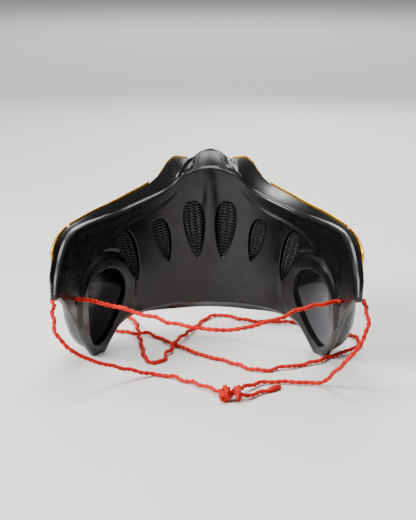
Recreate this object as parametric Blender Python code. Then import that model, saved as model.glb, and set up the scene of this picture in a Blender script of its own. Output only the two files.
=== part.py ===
"""Half mask for nose, cheeks and chin, in the manner of an old Japanese war mask.

Metres, +Z up. The mask faces +Y and stands as it does by itself, on the tips of its two jaw
lobes. The origin is on the floor, under the middle of the mask.

Every piece is laid out on one wall: a half ellipse in plan, from the left ear round the nose to
the right ear. A place on it is (along, z, out): metres along the wall from the nose to the
wearer's right, height above the floor, and distance out from the wall's inner face.
"""
import math
from bisect import bisect
from collections import namedtuple

import bmesh
import bpy
from mathutils import Vector

# Driving dimensions
MASK_HEIGHT = 0.118
INNER_HALF_WIDTH = 0.078
INNER_DEPTH = 0.106
PLAN_POWER = 2.1
WALL = 0.003
EDGE_CHAMFER = 0.0006
RIM_ROLL = 0.0014
NOSE_REACH = 0.0105
CHIN_REACH = 0.0070
FLARE = 0.0075
MUZZLE_SWELL = 0.0035
SEAT_GAP = 0.0003
GRILLE_THICKNESS = 0.0016
GRILLE_FRAME = 0.0011
GRILLE_RIB = 0.0012
PLATE_THICKNESS = 0.0014
PLATE_PROUD = 0.0012
POD_WALL = 0.0018
POD_DEPTH = 0.0185
POD_LAP = 0.0032
CORD_DIAMETER = 0.0024
CORD_HOLE = 0.0046
CUT_PAST = 0.004

SHELL_STATIONS = 48
GRILLE_RIBS = 7
POD_SEGMENTS = 20
HOLE_SEGMENTS = 12
PLATE_STATIONS = 11
TIE_STEP = 0.0070
LOOP_STEP = 0.0088
CURVE_STEPS = 16
INNER_ROWS = (0.0, 0.12, 0.30, 0.50, 0.70, 0.88)
OUTER_ROWS = (0.92, 0.84, 0.785, 0.755, 0.72, 0.64, 0.54, 0.44, 0.34, 0.24, 0.15, 0.07)

# Upper and lower edges of the shell. along is a share of the half length of the wall, the heights
# are shares of MASK_HEIGHT, and flange is the rim's width as a share of NOSE_REACH.
Edge = namedtuple("Edge", "along rim crest low foot flange")
EDGES = (
    Edge(0.000, 0.910, 0.992, 0.190, 0.155, 1.00),
    Edge(0.035, 0.905, 0.978, 0.190, 0.155, 0.98),
    Edge(0.075, 0.890, 0.944, 0.191, 0.156, 0.84),
    Edge(0.098, 0.880, 0.946, 0.192, 0.157, 0.84),
    Edge(0.125, 0.862, 0.952, 0.193, 0.158, 0.84),
    Edge(0.155, 0.828, 0.928, 0.193, 0.160, 0.76),
    Edge(0.185, 0.803, 0.884, 0.192, 0.163, 0.64),
    Edge(0.245, 0.774, 0.828, 0.189, 0.166, 0.56),
    Edge(0.330, 0.745, 0.790, 0.164, 0.154, 0.53),
    Edge(0.385, 0.730, 0.770, 0.120, 0.116, 0.52),
    Edge(0.412, 0.726, 0.763, 0.068, 0.066, 0.52),
    Edge(0.435, 0.723, 0.757, 0.024, 0.024, 0.51),
    Edge(0.452, 0.722, 0.754, 0.000, 0.000, 0.51),
    Edge(0.515, 0.719, 0.745, 0.000, 0.000, 0.50),
    Edge(0.540, 0.718, 0.741, 0.028, 0.028, 0.50),
    Edge(0.565, 0.718, 0.737, 0.058, 0.058, 0.50),
    Edge(0.620, 0.717, 0.731, 0.120, 0.120, 0.48),
    Edge(0.695, 0.714, 0.726, 0.218, 0.218, 0.47),
    Edge(0.776, 0.695, 0.713, 0.325, 0.325, 0.46),
    Edge(0.860, 0.642, 0.676, 0.410, 0.410, 0.45),
    Edge(0.930, 0.568, 0.612, 0.458, 0.458, 0.45),
    Edge(0.970, 0.530, 0.572, 0.468, 0.468, 0.43),
    Edge(1.000, 0.500, 0.534, 0.476, 0.476, 0.32),
)

# Where the wall swells and where its outer face thickens, as (middle, reach) along the wall or up
# it, in shares of its half length or of MASK_HEIGHT.
JAW_SPAN = (0.47, 0.30)
JAW_TOP = 0.48
MUZZLE_SPAN = (0.0, 0.34)
MUZZLE_RISE = (0.34, 0.55)
LIP_FALL = 0.26
LIP_HOLLOW = 1.3
NOSE_SPAN = (0.0, 0.12)
NOSE_FALL = 0.04
NOSE_TIP_SPAN = (0.0, 0.095)
NOSE_TIP = 0.80
NOSE_BASE = 0.755
CHIN_SPAN = (0.0, 0.21)
CHIN_FOOT = 0.06
CHIN_FALL = 0.24
FLANGE_BEND_UP = 0.62
FLANGE_BEND_OUT = 0.55

# The six breathing slots, three a side, like a fan round the mouth. The two ends are places on
# the wall as shares of its half length and of MASK_HEIGHT, half_width is a share of slot length.
Slot = namedtuple("Slot", "top_along top_z low_along low_z half_width")
SLOTS = (
    Slot(0.072, 0.735, 0.049, 0.435, 0.170),
    Slot(0.216, 0.652, 0.168, 0.425, 0.195),
    Slot(0.388, 0.622, 0.312, 0.350, 0.180),
)
SLOT_DOWNS = (0.0, 0.025, 0.08, 0.17, 0.30, 0.46, 0.62, 0.78, 0.90, 0.97, 1.0)
SLOT_BELLY = 0.62
NET_TOP = 0.05
NET_FOOT = 0.93

# The teardrop opening in each jaw lobe: shares of its half widths, from its foot to its top.
Tear = namedtuple("Tear", "up rear front")
TEAR_SHAPE = (
    Tear(0.00, 0.00, 0.00),
    Tear(0.03, 0.24, 0.24),
    Tear(0.10, 0.43, 0.44),
    Tear(0.22, 0.62, 0.64),
    Tear(0.45, 0.84, 0.88),
    Tear(0.66, 0.97, 1.00),
    Tear(0.80, 1.00, 0.92),
    Tear(0.92, 0.78, 0.66),
    Tear(0.98, 0.42, 0.34),
    Tear(1.00, 0.00, 0.00),
)

# The cup behind each teardrop: at each share of the teardrop's size, its share of the depth.
Dome = namedtuple("Dome", "share rise")
POD_DOME = (
    Dome(1.00, 0.00),
    Dome(0.96, 0.30),
    Dome(0.87, 0.56),
    Dome(0.74, 0.77),
    Dome(0.56, 0.92),
    Dome(0.32, 0.99),
)
POD_EDGE = 0.0012
TEAR_ALONG = 0.497
TEAR_FRONT = 0.0172
TEAR_REAR = 0.0194
TEAR_FOOT = 0.054
TEAR_TOP = 0.460
TEAR_BELLY = 0.66

# Raised plates on the outside. Heights are measured down from the shell's crest, as shares of
# MASK_HEIGHT: the plate runs from top to bottom at each place along the wall.
Plate = namedtuple("Plate", "along top bottom")
NOSE_WING = (
    Plate(0.082, -0.004, 0.020),
    Plate(0.105, -0.004, 0.062),
    Plate(0.150, -0.004, 0.098),
    Plate(0.185, 0.002, 0.060),
    Plate(0.200, 0.010, 0.024),
)
CHEEK_PLATE = (
    Plate(0.236, -0.004, 0.026),
    Plate(0.300, -0.004, 0.084),
    Plate(0.400, -0.004, 0.096),
    Plate(0.480, -0.004, 0.150),
    Plate(0.550, -0.004, 0.205),
    Plate(0.610, -0.004, 0.200),
    Plate(0.655, -0.004, 0.110),
    Plate(0.690, -0.004, 0.028),
)
EAR_PLATE = (
    Plate(0.712, -0.004, 0.050),
    Plate(0.760, -0.004, 0.150),
    Plate(0.815, -0.004, 0.180),
    Plate(0.865, -0.004, 0.150),
    Plate(0.890, -0.004, 0.110),
)

HOLE_ALONG = 0.725
HOLE_Z = 0.375

# The routes of the cord, in millimetres, points chosen by hand. The tie cord runs through a hole
# behind each jaw lobe: one stretch inside from hole to hole, and one from each hole to the knot.
# The second cord is a closed loop on the floor. It passes under the chin and round the right lobe.
CORD_INSIDE = (
    (-61.5, -28.0, 46.4), (-49.0, -34.5, 45.3), (-36.0, -41.0, 43.6), (-24.0, -46.5, 41.8),
    (-12.0, -51.0, 39.8), (0.0, -53.4, 38.8), (12.0, -53.4, 39.0), (24.0, -51.0, 40.2),
    (37.0, -45.5, 42.2), (50.0, -36.5, 44.2), (61.0, -28.5, 44.8),
)
CORD_LEFT = (
    (-83.6, -24.0, 46.6), (-84.4, -32.0, 48.0), (-82.8, -42.0, 47.6), (-81.8, -50.5, 43.6),
    (-79.0, -56.6, 37.0), (-72.8, -57.0, 29.5), (-64.8, -49.0, 21.0), (-54.6, -38.5, 13.0),
    (-45.2, -28.6, 7.0), (-37.0, -22.8, 3.0), (-29.0, -20.8, 1.5), (-20.6, -23.2, 1.3),
    (-12.0, -30.0, 1.3), (-3.6, -38.0, 1.5), (4.6, -46.8, 2.6),
)
CORD_RIGHT = (
    (84.0, -24.0, 46.8), (85.6, -32.0, 48.6), (85.4, -41.0, 48.4), (85.8, -49.0, 45.6),
    (85.0, -55.4, 39.8), (80.6, -56.2, 30.6), (74.4, -51.0, 20.8), (69.6, -43.5, 11.8),
    (65.6, -37.2, 4.8), (59.0, -33.4, 1.5), (50.0, -32.0, 1.3), (39.0, -31.4, 1.3),
    (29.4, -34.0, 1.5), (22.0, -42.0, 2.8),
)
CORD_TAIL = ((22.6, -53.6, 2.0), (31.4, -45.4, 1.3), (40.0, -39.4, 1.3))
LOOP_ROUTE = (
    (53.0, -3.6, 1.3), (64.3, 3.2, 1.3), (71.5, 11.6, 1.3), (79.8, 19.2, 1.3), (89.0, 28.0, 1.3),
    (91.0, 40.0, 1.3), (88.0, 51.0, 1.3), (79.0, 64.0, 1.3), (66.0, 73.0, 1.3),
    (52.0, 77.0, 1.3), (38.0, 77.6, 1.3), (25.0, 79.4, 1.3), (15.0, 87.0, 1.3), (6.0, 91.6, 1.3),
    (-2.6, 85.0, 1.3), (-8.0, 70.0, 1.3), (-12.6, 54.0, 2.4), (-19.0, 33.5, 4.1),
    (-24.0, 15.0, 2.2), (-26.4, 4.4, 1.3), (-30.8, -0.6, 1.3), (-35.6, 4.0, 1.3),
    (-38.4, 15.0, 1.3), (-41.6, 34.0, 2.6), (-44.6, 52.0, 4.1), (-48.0, 71.0, 2.6),
    (-54.0, 87.0, 1.4), (-63.5, 93.0, 1.3), (-73.0, 87.0, 1.3), (-76.0, 76.0, 1.3),
    (-69.0, 64.0, 1.3), (-58.0, 57.4, 1.3), (-47.0, 53.2, 1.3), (-38.0, 51.4, 1.3),
    (-30.0, 43.0, 1.3), (-21.0, 31.6, 1.3), (-5.0, 14.0, 1.3), (11.0, 3.0, 1.3),
    (20.0, -6.4, 1.3), (29.0, -12.6, 1.3), (40.0, -9.6, 1.3),
)
LOOP_JOIN = 31
HOLE_LEAD = 0.0022
KNOT_MIDDLE = (0.0140, -0.0565, 0.0046)
KNOT_RADII = (0.0068, 0.0054, 0.0044)


def clear_scene():
    for thing in list(bpy.data.objects):
        bpy.data.objects.remove(thing, do_unlink=True)


def smooth(share):
    share = min(max(share, 0.0), 1.0)
    return share * share * (3.0 - 2.0 * share)


def bump(place, middle, reach):
    return smooth(1.0 - abs(place - middle) / reach)


def read(table, column, along):
    """A column of a table at a place between its rows, on a curve that never overshoots."""
    keys = [getattr(row, table[0]._fields[0]) for row in table]
    values = [getattr(row, column) for row in table]
    along = min(max(along, keys[0]), keys[-1])
    i = min(max(bisect(keys, along) - 1, 0), len(keys) - 2)
    steps = [
        (values[k + 1] - values[k]) / (keys[k + 1] - keys[k]) for k in range(len(keys) - 1)
    ]

    def lean(k):
        if k == 0 or k == len(keys) - 1:
            return steps[min(k, len(steps) - 1)]
        before, after = steps[k - 1], steps[k]
        if before * after <= 0.0:
            return 0.0
        return 2.0 * before * after / (before + after)

    span = keys[i + 1] - keys[i]
    t = (along - keys[i]) / span
    rise = values[i + 1] - values[i]
    curve = span * (lean(i) * (t - 2 * t**2 + t**3) + lean(i + 1) * (t**3 - t**2))
    return values[i] + rise * (3 * t**2 - 2 * t**3) + curve


def plan_point(turn):
    """The wall's inner face in plan, by the angle from the nose."""
    across, ahead = math.sin(turn), math.cos(turn)
    power = 2.0 / PLAN_POWER
    x = math.copysign(abs(across) ** power, across) * INNER_HALF_WIDTH
    return Vector((x, max(ahead, 0.0) ** power * INNER_DEPTH))


PLAN_STEPS = 360
PLAN = [plan_point(math.pi / 2 * k / PLAN_STEPS) for k in range(PLAN_STEPS + 1)]
RUNS = [0.0]
for before, after in zip(PLAN, PLAN[1:]):
    RUNS.append(RUNS[-1] + (after - before).length)
HALF_RUN = RUNS[-1]
MIDDLE_Y = (INNER_DEPTH + NOSE_REACH) / 2


def plan_place(along):
    """Point and outward normal of the wall in plan, along metres from the nose."""
    run = min(abs(along), HALF_RUN)
    k = min(max(bisect(RUNS, run) - 1, 0), PLAN_STEPS - 1)
    t = (run - RUNS[k]) / (RUNS[k + 1] - RUNS[k])
    point = PLAN[k].lerp(PLAN[k + 1], t)
    ahead = PLAN[min(k + 3, PLAN_STEPS)] - PLAN[max(k - 2, 0)]
    if run < RUNS[3]:
        ahead = Vector((1.0, 0.0)).lerp(ahead.normalized(), run / RUNS[3])
    if run > RUNS[-3]:
        ahead = Vector((0.0, -1.0))
    ahead.normalize()
    normal = Vector((-ahead.y, ahead.x))
    if along < 0.0:
        point = Vector((-point.x, point.y))
        normal = Vector((-normal.x, normal.y))
    return point, normal


def swell(along, z):
    """How far the wall leans out of the plain ellipse: jaw lobes below, muzzle in front."""
    share, up = abs(along) / HALF_RUN, z / MASK_HEIGHT
    jaw = FLARE * bump(share, *JAW_SPAN) * smooth(1.0 - up / JAW_TOP)
    muzzle = MUZZLE_SWELL * bump(share, *MUZZLE_SPAN) * bump(up, *MUZZLE_RISE)
    return jaw + muzzle


def on_wall(along, z, out):
    point, normal = plan_place(along)
    point = point + normal * (out + swell(along, z))
    return Vector((point.x, point.y - MIDDLE_Y, z))


def edge(column, along):
    return read(EDGES, column, abs(along) / HALF_RUN) * MASK_HEIGHT


def flange(along):
    return read(EDGES, "flange", abs(along) / HALF_RUN) * NOSE_REACH


def outer(along, z):
    """Distance of the shell's outer face from its inner face."""
    share, up = abs(along) / HALF_RUN, z / MASK_HEIGHT
    crest = edge("crest", along)
    fall = (LIP_FALL - NOSE_FALL * bump(share, *NOSE_SPAN)) * MASK_HEIGHT
    lip = (flange(along) - WALL) * smooth(1.0 - (crest - z) / fall) ** LIP_HOLLOW
    under = smooth((up - NOSE_BASE) / (NOSE_TIP - NOSE_BASE))
    nose = (NOSE_REACH - WALL - swell(along, z)) * bump(share, *NOSE_TIP_SPAN) * under
    chin = (CHIN_REACH - WALL) * bump(share, *CHIN_SPAN) * smooth(1.0 - (up - CHIN_FOOT) / CHIN_FALL)
    return WALL + max(lip, nose, 0.0) + chin


def make_object(name, verts, faces, material):
    mesh = bpy.data.meshes.new(name)
    mesh.from_pydata([tuple(v) for v in verts], [], faces)
    bm = bmesh.new()
    bm.from_mesh(mesh)
    bmesh.ops.recalc_face_normals(bm, faces=bm.faces)
    bmesh.ops.triangulate(bm, faces=bm.faces)
    bm.to_mesh(mesh)
    bm.free()
    mesh.shade_smooth()
    mesh.set_sharp_from_angle(angle=math.radians(35))
    thing = bpy.data.objects.new(name, mesh)
    bpy.context.scene.collection.objects.link(thing)
    if material:
        mesh.materials.append(material)
    return thing


def sweep(name, loops, material):
    """A closed solid through loops of equal count, with both ends capped."""
    count = len(loops[0])
    verts = [point for loop in loops for point in loop]
    faces = []
    for i in range(len(loops) - 1):
        for j in range(count):
            k = (j + 1) % count
            faces.append((i * count + j, i * count + k, (i + 1) * count + k, (i + 1) * count + j))
    faces.append(tuple(range(count)))
    last = (len(loops) - 1) * count
    faces.append(tuple(last + j for j in reversed(range(count))))
    return make_object(name, verts, faces, material)


def net(name, under, over, solid, material):
    """A plate of cells between two grids of points. solid(i, j) says which cells are filled."""
    rows, columns = len(under) - 1, len(under[0]) - 1
    stride = columns + 1
    verts = [point for row in under for point in row] + [point for row in over for point in row]
    lift = (rows + 1) * stride

    def filled(i, j):
        return 0 <= i < rows and 0 <= j < columns and solid(i, j)

    faces = []
    for i in range(rows):
        for j in range(columns):
            if not filled(i, j):
                continue
            a, b = i * stride + j, i * stride + j + 1
            c, d = a + stride, b + stride
            faces.append((a, b, d, c))
            faces.append((a + lift, c + lift, d + lift, b + lift))
            if not filled(i - 1, j):
                faces.append((a, a + lift, b + lift, b))
            if not filled(i + 1, j):
                faces.append((c, d, d + lift, c + lift))
            if not filled(i, j - 1):
                faces.append((a, c, c + lift, a + lift))
            if not filled(i, j + 1):
                faces.append((b, b + lift, d + lift, d))
    thing = make_object(name, verts, faces, material)
    bm = bmesh.new()
    bm.from_mesh(thing.data)
    bmesh.ops.delete(bm, geom=[v for v in bm.verts if not v.link_faces], context="VERTS")
    bm.to_mesh(thing.data)
    bm.free()
    return thing


def disc(name, rings, material):
    """A closed solid through rings of equal count, from one middle point to another."""
    count = len(rings[1])
    verts = [rings[0][0]] + [point for ring in rings[1:-1] for point in ring] + [rings[-1][0]]
    faces = []
    for j in range(count):
        faces.append((0, 1 + j, 1 + (j + 1) % count))
    for i in range(len(rings) - 3):
        for j in range(count):
            k = (j + 1) % count
            a, b = 1 + i * count, 1 + (i + 1) * count
            faces.append((a + j, b + j, b + k, a + k))
    first, last = 1 + (len(rings) - 3) * count, len(verts) - 1
    for j in range(count):
        faces.append((last, first + (j + 1) % count, first + j))
    return make_object(name, verts, faces, material)


def cut(thing, cutter):
    cutter.hide_render = True
    cutter.display_type = "WIRE"
    modifier = thing.modifiers.new("cut_" + cutter.name, "BOOLEAN")
    modifier.operation = "DIFFERENCE"
    modifier.object = cutter


def finish(name, colour, roughness, metallic=0.0):
    material = bpy.data.materials.new(name)
    material.use_nodes = True
    shader = material.node_tree.nodes["Principled BSDF"]
    shader.inputs["Base Color"].default_value = (*colour, 1.0)
    shader.inputs["Roughness"].default_value = roughness
    shader.inputs["Metallic"].default_value = metallic
    return material


def shell_section(along):
    """One section of the shell, from the inner edge up, over the rim and down the outside."""
    low, foot = edge("low", along), edge("foot", along)
    rim, crest = edge("rim", along), edge("crest", along)
    width = flange(along)
    bottom, top = low + EDGE_CHAMFER, rim - RIM_ROLL
    section = [on_wall(along, bottom + (top - bottom) * share, 0.0) for share in INNER_ROWS]
    section.append(on_wall(along, top, 0.0))
    section.append(on_wall(along, rim - RIM_ROLL * 0.3, RIM_ROLL * 0.3))
    section.append(on_wall(along, rim, RIM_ROLL))
    bend = rim + (crest - rim) * FLANGE_BEND_UP
    section.append(on_wall(along, bend, RIM_ROLL + (width - RIM_ROLL) * FLANGE_BEND_OUT))
    section.append(on_wall(along, crest, width - EDGE_CHAMFER))
    section.append(on_wall(along, crest - EDGE_CHAMFER, outer(along, crest)))
    low_outer, high_outer = foot + EDGE_CHAMFER, crest - EDGE_CHAMFER
    for share in OUTER_ROWS:
        z = low_outer + (high_outer - low_outer) * share
        section.append(on_wall(along, z, outer(along, z)))
    depth = outer(along, foot)
    section.append(on_wall(along, low_outer, depth))
    section.append(on_wall(along, foot, depth - EDGE_CHAMFER))
    heel = EDGE_CHAMFER + (depth - WALL) * 0.5
    section.append(on_wall(along, foot + (low - foot) * 0.35, heel))
    return section


def stations():
    """Places along the wall, closer together where the edges turn."""
    places = set(row.along for row in EDGES)
    places.update(k / (SHELL_STATIONS / 2) for k in range(SHELL_STATIONS // 2 + 1))
    kept = []
    for place in sorted(places):
        if kept and place - kept[-1] < 0.012:
            if any(place == row.along for row in EDGES):
                kept[-1] = place
            continue
        kept.append(place)
    return [-place * HALF_RUN for place in reversed(kept[1:])] + [p * HALF_RUN for p in kept]


def slot_place(slot, side, down, across, out_of_wall):
    """A place in a slot: down from its top to its low end, across it in metres."""
    top = Vector((slot.top_along * HALF_RUN, slot.top_z * MASK_HEIGHT))
    low = Vector((slot.low_along * HALF_RUN, slot.low_z * MASK_HEIGHT))
    line = low - top
    square = Vector((line.y, -line.x)).normalized()
    place = top + line * down + square * across
    return on_wall(side * place.x, place.y, out_of_wall(side * place.x, place.y))


def slot_length(slot):
    run = (slot.top_along - slot.low_along) * HALF_RUN
    fall = (slot.top_z - slot.low_z) * MASK_HEIGHT
    return math.hypot(run, fall)


def slot_half(slot, down):
    """Half width of a slot: a leaf, widest above its middle and narrow at its low end."""
    down = min(max(down, 0.0), 1.0)
    leaf = math.sin(math.pi * down**SLOT_BELLY)
    return max(leaf, 0.0) ** SLOT_BELLY * slot_length(slot) * slot.half_width


def slot_outline(slot, side, out_of_wall):
    right = [(down, slot_half(slot, down)) for down in SLOT_DOWNS[1:-1]]
    places = [(0.0, 0.0)] + right + [(1.0, 0.0)]
    places += [(down, -half) for down, half in reversed(right)]
    return [slot_place(slot, side, down, across, out_of_wall) for down, across in places]


def slot_cutter(name, slot, side):
    inside = slot_outline(slot, side, lambda along, z: -CUT_PAST)
    outside = slot_outline(slot, side, lambda along, z: outer(along, z) + CUT_PAST)
    return sweep(name, [inside, outside], None)


def vent_grille(name, slot, side, material):
    """The ribbed net that closes a slot, set in the middle of the wall's thickness."""
    length = slot_length(slot)
    inset = SEAT_GAP / length
    first, last = NET_TOP + inset, NET_FOOT - inset
    pitch = (last - first) / GRILLE_RIBS
    rib = GRILLE_RIB / length
    downs = [first]
    for k in range(1, GRILLE_RIBS):
        downs += [first + k * pitch - rib / 2, first + k * pitch + rib / 2]
    downs[0:1] = [first, first + rib]
    downs += [last - rib, last]

    def floor_of(along, z):
        return (WALL - GRILLE_THICKNESS) / 2

    def top_of(along, z):
        return (WALL + GRILLE_THICKNESS) / 2

    under, over = [], []
    for down in downs:
        half = slot_half(slot, down) - SEAT_GAP
        frame = max(half - GRILLE_FRAME, 0.5 * half)
        bar = min(GRILLE_FRAME / 2, 0.25 * half)
        acrosses = (-half, -frame, -bar, bar, frame, half)
        under.append([slot_place(slot, side, down, a, floor_of) for a in acrosses])
        over.append([slot_place(slot, side, down, a, top_of) for a in acrosses])
    return net(name, under, over, lambda i, j: i % 2 == 0 or j % 2 == 0, material)


def tear_outline(side, grow, share, out_of_wall, out):
    """The teardrop at a share of its size, from its foot round the rear to the top and back."""
    foot, top = TEAR_FOOT * MASK_HEIGHT - grow, TEAR_TOP * MASK_HEIGHT + grow
    middle = foot + (top - foot) * TEAR_BELLY
    points = []
    for k in range(POD_SEGMENTS):
        turn = 2 * math.pi * k / POD_SEGMENTS
        up = (1 - math.cos(turn)) / 2
        if turn < math.pi:
            across = read(TEAR_SHAPE, "rear", up) * (TEAR_REAR + grow)
        else:
            across = -read(TEAR_SHAPE, "front", up) * (TEAR_FRONT + grow)
        z = middle + (foot + (top - foot) * up - middle) * share
        along = TEAR_ALONG * HALF_RUN + across * share
        points.append(on_wall(side * along, z, out_of_wall(side * along, z) + out))
    return points


def tear_cutter(name, side):
    inside = tear_outline(side, 0.0, 1.0, lambda along, z: 0.0, -CUT_PAST)
    outside = tear_outline(side, 0.0, 1.0, outer, CUT_PAST)
    return sweep(name, [inside, outside], None)


def jaw_pod(name, side, material):
    """A blind cup on the outside of the jaw lobe, open to the inside through the teardrop."""

    def seat(along, z):
        return outer(along, z) + SEAT_GAP

    def ring(grow, share, lift):
        return tear_outline(side, grow, share, seat, lift)

    inner_depth = POD_DEPTH - POD_WALL
    rings = [[ring(0.0, 0.0, inner_depth)[0]]]
    for row in reversed(POD_DOME):
        rings.append(ring(0.0, row.share, inner_depth * row.rise))
    rings.append(ring(POD_LAP, 1.0, 0.0))
    for row in POD_DOME:
        rings.append(ring(POD_LAP, row.share, POD_EDGE + (POD_DEPTH - POD_EDGE) * row.rise))
    rings.append([ring(0.0, 0.0, POD_DEPTH)[0]])
    return disc(name, rings, material)


def raised_plate(name, table, side, material):
    """A plate that lies on the shell's outer face and stands a little above its crest."""
    loops = []
    first, last = table[0].along, table[-1].along
    count = PLATE_STATIONS
    for k in range(count + 1):
        share = first + (last - first) * k / count
        along = side * share * HALF_RUN
        crest = edge("crest", along)
        top = crest - read(table, "top", share) * MASK_HEIGHT
        bottom = crest - read(table, "bottom", share) * MASK_HEIGHT
        seat = [bottom, (top + bottom) / 2, min(top, crest)]
        inside = [on_wall(along, z, outer(along, z) + SEAT_GAP) for z in seat]
        inside.append(on_wall(along, top + PLATE_PROUD * 0.4, outer(along, crest) + SEAT_GAP))
        outside = []
        for z in reversed(seat):
            outside.append(on_wall(along, z, outer(along, z) + SEAT_GAP + PLATE_THICKNESS))
        top_out = outer(along, crest) + SEAT_GAP + PLATE_THICKNESS * 0.6
        outside.insert(0, on_wall(along, top + PLATE_PROUD * 0.4, top_out))
        loops.append(inside + outside)
    return sweep(name, loops, material)


def cord_hole_cutter(name, side):
    """A round hole straight through the wall behind the jaw lobe, for the cord."""
    along, z = side * HOLE_ALONG * HALF_RUN, HOLE_Z * MASK_HEIGHT
    start, end = on_wall(along, z, -CUT_PAST), on_wall(along, z, WALL + CUT_PAST)
    axis = (end - start).normalized()
    flat = Vector((0.0, 0.0, 1.0))
    cross = axis.cross(flat).normalized()
    loops = []
    for middle in (start, end):
        loop = []
        for k in range(HOLE_SEGMENTS):
            turn = 2 * math.pi * k / HOLE_SEGMENTS
            loop.append(middle + (cross * math.cos(turn) + flat * math.sin(turn)) * CORD_HOLE / 2)
        loops.append(loop)
    return sweep(name, loops, None)


def smooth_path(points, step, lead_in=None, lead_out=None):
    """Points at an even step on a smooth curve through the route's own points."""
    ends = [lead_in or points[0] * 2 - points[1]] + list(points)
    ends.append(lead_out or points[-1] * 2 - points[-2])
    fine = []
    for before, a, b, after in zip(ends, ends[1:], ends[2:], ends[3:]):
        for k in range(CURVE_STEPS):
            t = k / CURVE_STEPS
            bend = (2 * before - 5 * a + 4 * b - after) * t + (3 * a - before - 3 * b + after) * t**2
            fine.append(a + ((b - before) + bend) * t / 2)
    fine.append(points[-1])
    runs = [0.0]
    for a, b in zip(fine, fine[1:]):
        runs.append(runs[-1] + (b - a).length)
    count = round(runs[-1] / step)
    path = []
    for k in range(count + 1):
        run = runs[-1] * k / count
        i = min(max(bisect(runs, run) - 1, 0), len(runs) - 2)
        path.append(fine[i].lerp(fine[i + 1], (run - runs[i]) / (runs[i + 1] - runs[i])))
    return path


def drawn_back(path):
    """The same path with both ends drawn back, half the gap to a neighbour each."""
    gap = SEAT_GAP / 2
    first = path[0].lerp(path[1], gap / (path[1] - path[0]).length)
    last = path[-1].lerp(path[-2], gap / (path[-2] - path[-1]).length)
    return [first] + path[1:-1] + [last]


def knot_share(point):
    away = point - Vector(KNOT_MIDDLE)
    return math.sqrt(sum((a / (r + SEAT_GAP)) ** 2 for a, r in zip(away, KNOT_RADII)))


def stop_at_knot(path):
    """The part of a path before it reaches the knot."""
    kept = [point for point in path if knot_share(point) > 1.0]
    near, far = path[len(kept)], kept[-1]
    for _ in range(20):
        middle = near.lerp(far, 0.5)
        if knot_share(middle) < 1.0:
            near = middle
        else:
            far = middle
    return kept[:-1] + [far]


def route_points(route):
    return [Vector(point) / 1000 for point in route]


def cord(name, path, material):
    curve = bpy.data.curves.new(name, "CURVE")
    curve.dimensions = "3D"
    curve.bevel_depth = CORD_DIAMETER / 2
    curve.bevel_resolution = 2
    curve.use_fill_caps = True
    spline = curve.splines.new("POLY")
    spline.points.add(len(path) - 1)
    for place, point in zip(spline.points, path):
        place.co = (*point, 1.0)
    curve.materials.append(material)
    thing = bpy.data.objects.new(name, curve)
    bpy.context.scene.collection.objects.link(thing)
    return thing


def hole_leads(side):
    """Points of the tie cord straight through its hole, from the inside out."""
    outs = (-HOLE_LEAD, 0.0, WALL + HOLE_LEAD, WALL + 2 * HOLE_LEAD)
    return [on_wall(side * HOLE_ALONG * HALF_RUN, HOLE_Z * MASK_HEIGHT, out) for out in outs]


def tie_path():
    """From the knot through both holes and back to the knot."""
    knot = Vector(KNOT_MIDDLE)
    left = hole_leads(-1) + route_points(CORD_LEFT) + [knot]
    right = hole_leads(1) + route_points(CORD_RIGHT) + [knot]
    path = smooth_path(left[::-1] + route_points(CORD_INSIDE) + right, TIE_STEP)
    half = len(path) // 2
    return stop_at_knot(path[half::-1])[::-1] + stop_at_knot(path[half + 1 :])


def build_cords(material):
    knot = Vector(KNOT_MIDDLE)
    cord("tie_cord", tie_path(), material)
    tail = smooth_path(route_points(CORD_TAIL[::-1]) + [knot], TIE_STEP)
    cord("tie_cord_tail", stop_at_knot(tail), material)
    loop = route_points(LOOP_ROUTE)
    front = smooth_path(loop[: LOOP_JOIN + 1], LOOP_STEP, loop[-1], loop[LOOP_JOIN + 1])
    rear = smooth_path(loop[LOOP_JOIN:] + loop[:1], LOOP_STEP, loop[LOOP_JOIN - 1], loop[1])
    cord("loop_front", drawn_back(front), material)
    cord("loop_rear", drawn_back(rear), material)
    bpy.ops.mesh.primitive_uv_sphere_add(segments=12, ring_count=8, radius=1.0)
    lump = bpy.context.object
    lump.name = "knot"
    lump.data.name = "knot"
    lump.data.materials.append(material)
    for vertex in lump.data.vertices:
        vertex.co = Vector(a * r for a, r in zip(vertex.co, KNOT_RADII))
    lump.location = knot
    lump.data.shade_smooth()


def build_mask():
    black = finish("black_plastic", (0.012, 0.012, 0.013), 0.42)
    mesh_black = finish("black_net", (0.02, 0.02, 0.021), 0.5)
    gold = finish("gold_paint", (0.60, 0.38, 0.09), 0.35, 0.6)
    twine = finish("red_twine", (0.62, 0.035, 0.015), 0.8)
    shell = sweep("shell", [shell_section(along) for along in stations()], black)
    for side, label in ((-1, "left"), (1, "right")):
        for k, slot in enumerate(SLOTS, start=1):
            cut(shell, slot_cutter(f"slot_{label}_{k}", slot, side))
            vent_grille(f"vent_grille_{label}_{k}", slot, side, mesh_black)
        cut(shell, tear_cutter(f"tear_{label}", side))
        cut(shell, cord_hole_cutter(f"cord_hole_{label}", side))
        jaw_pod(f"jaw_pod_{label}", side, black)
        raised_plate(f"nose_wing_{label}", NOSE_WING, side, gold)
        raised_plate(f"cheek_plate_{label}", CHEEK_PLATE, side, gold)
        raised_plate(f"ear_plate_{label}", EAR_PLATE, side, gold)
    build_cords(twine)


clear_scene()
build_mask()
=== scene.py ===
"""The look of a black half face mask with gold plates, netted slots and red twine.

Metres, +Z up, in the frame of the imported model: the mask faces +Y and stands on the tips of its
two jaw lobes. Every hard piece is laid out on one curved wall, as on the real mask. A place on the
wall is (along, z, out): metres along it from the nose to the wearer's right, height above the
floor, and distance out from the wall's inner face.
"""
import math
import random
from bisect import bisect
from collections import namedtuple

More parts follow.
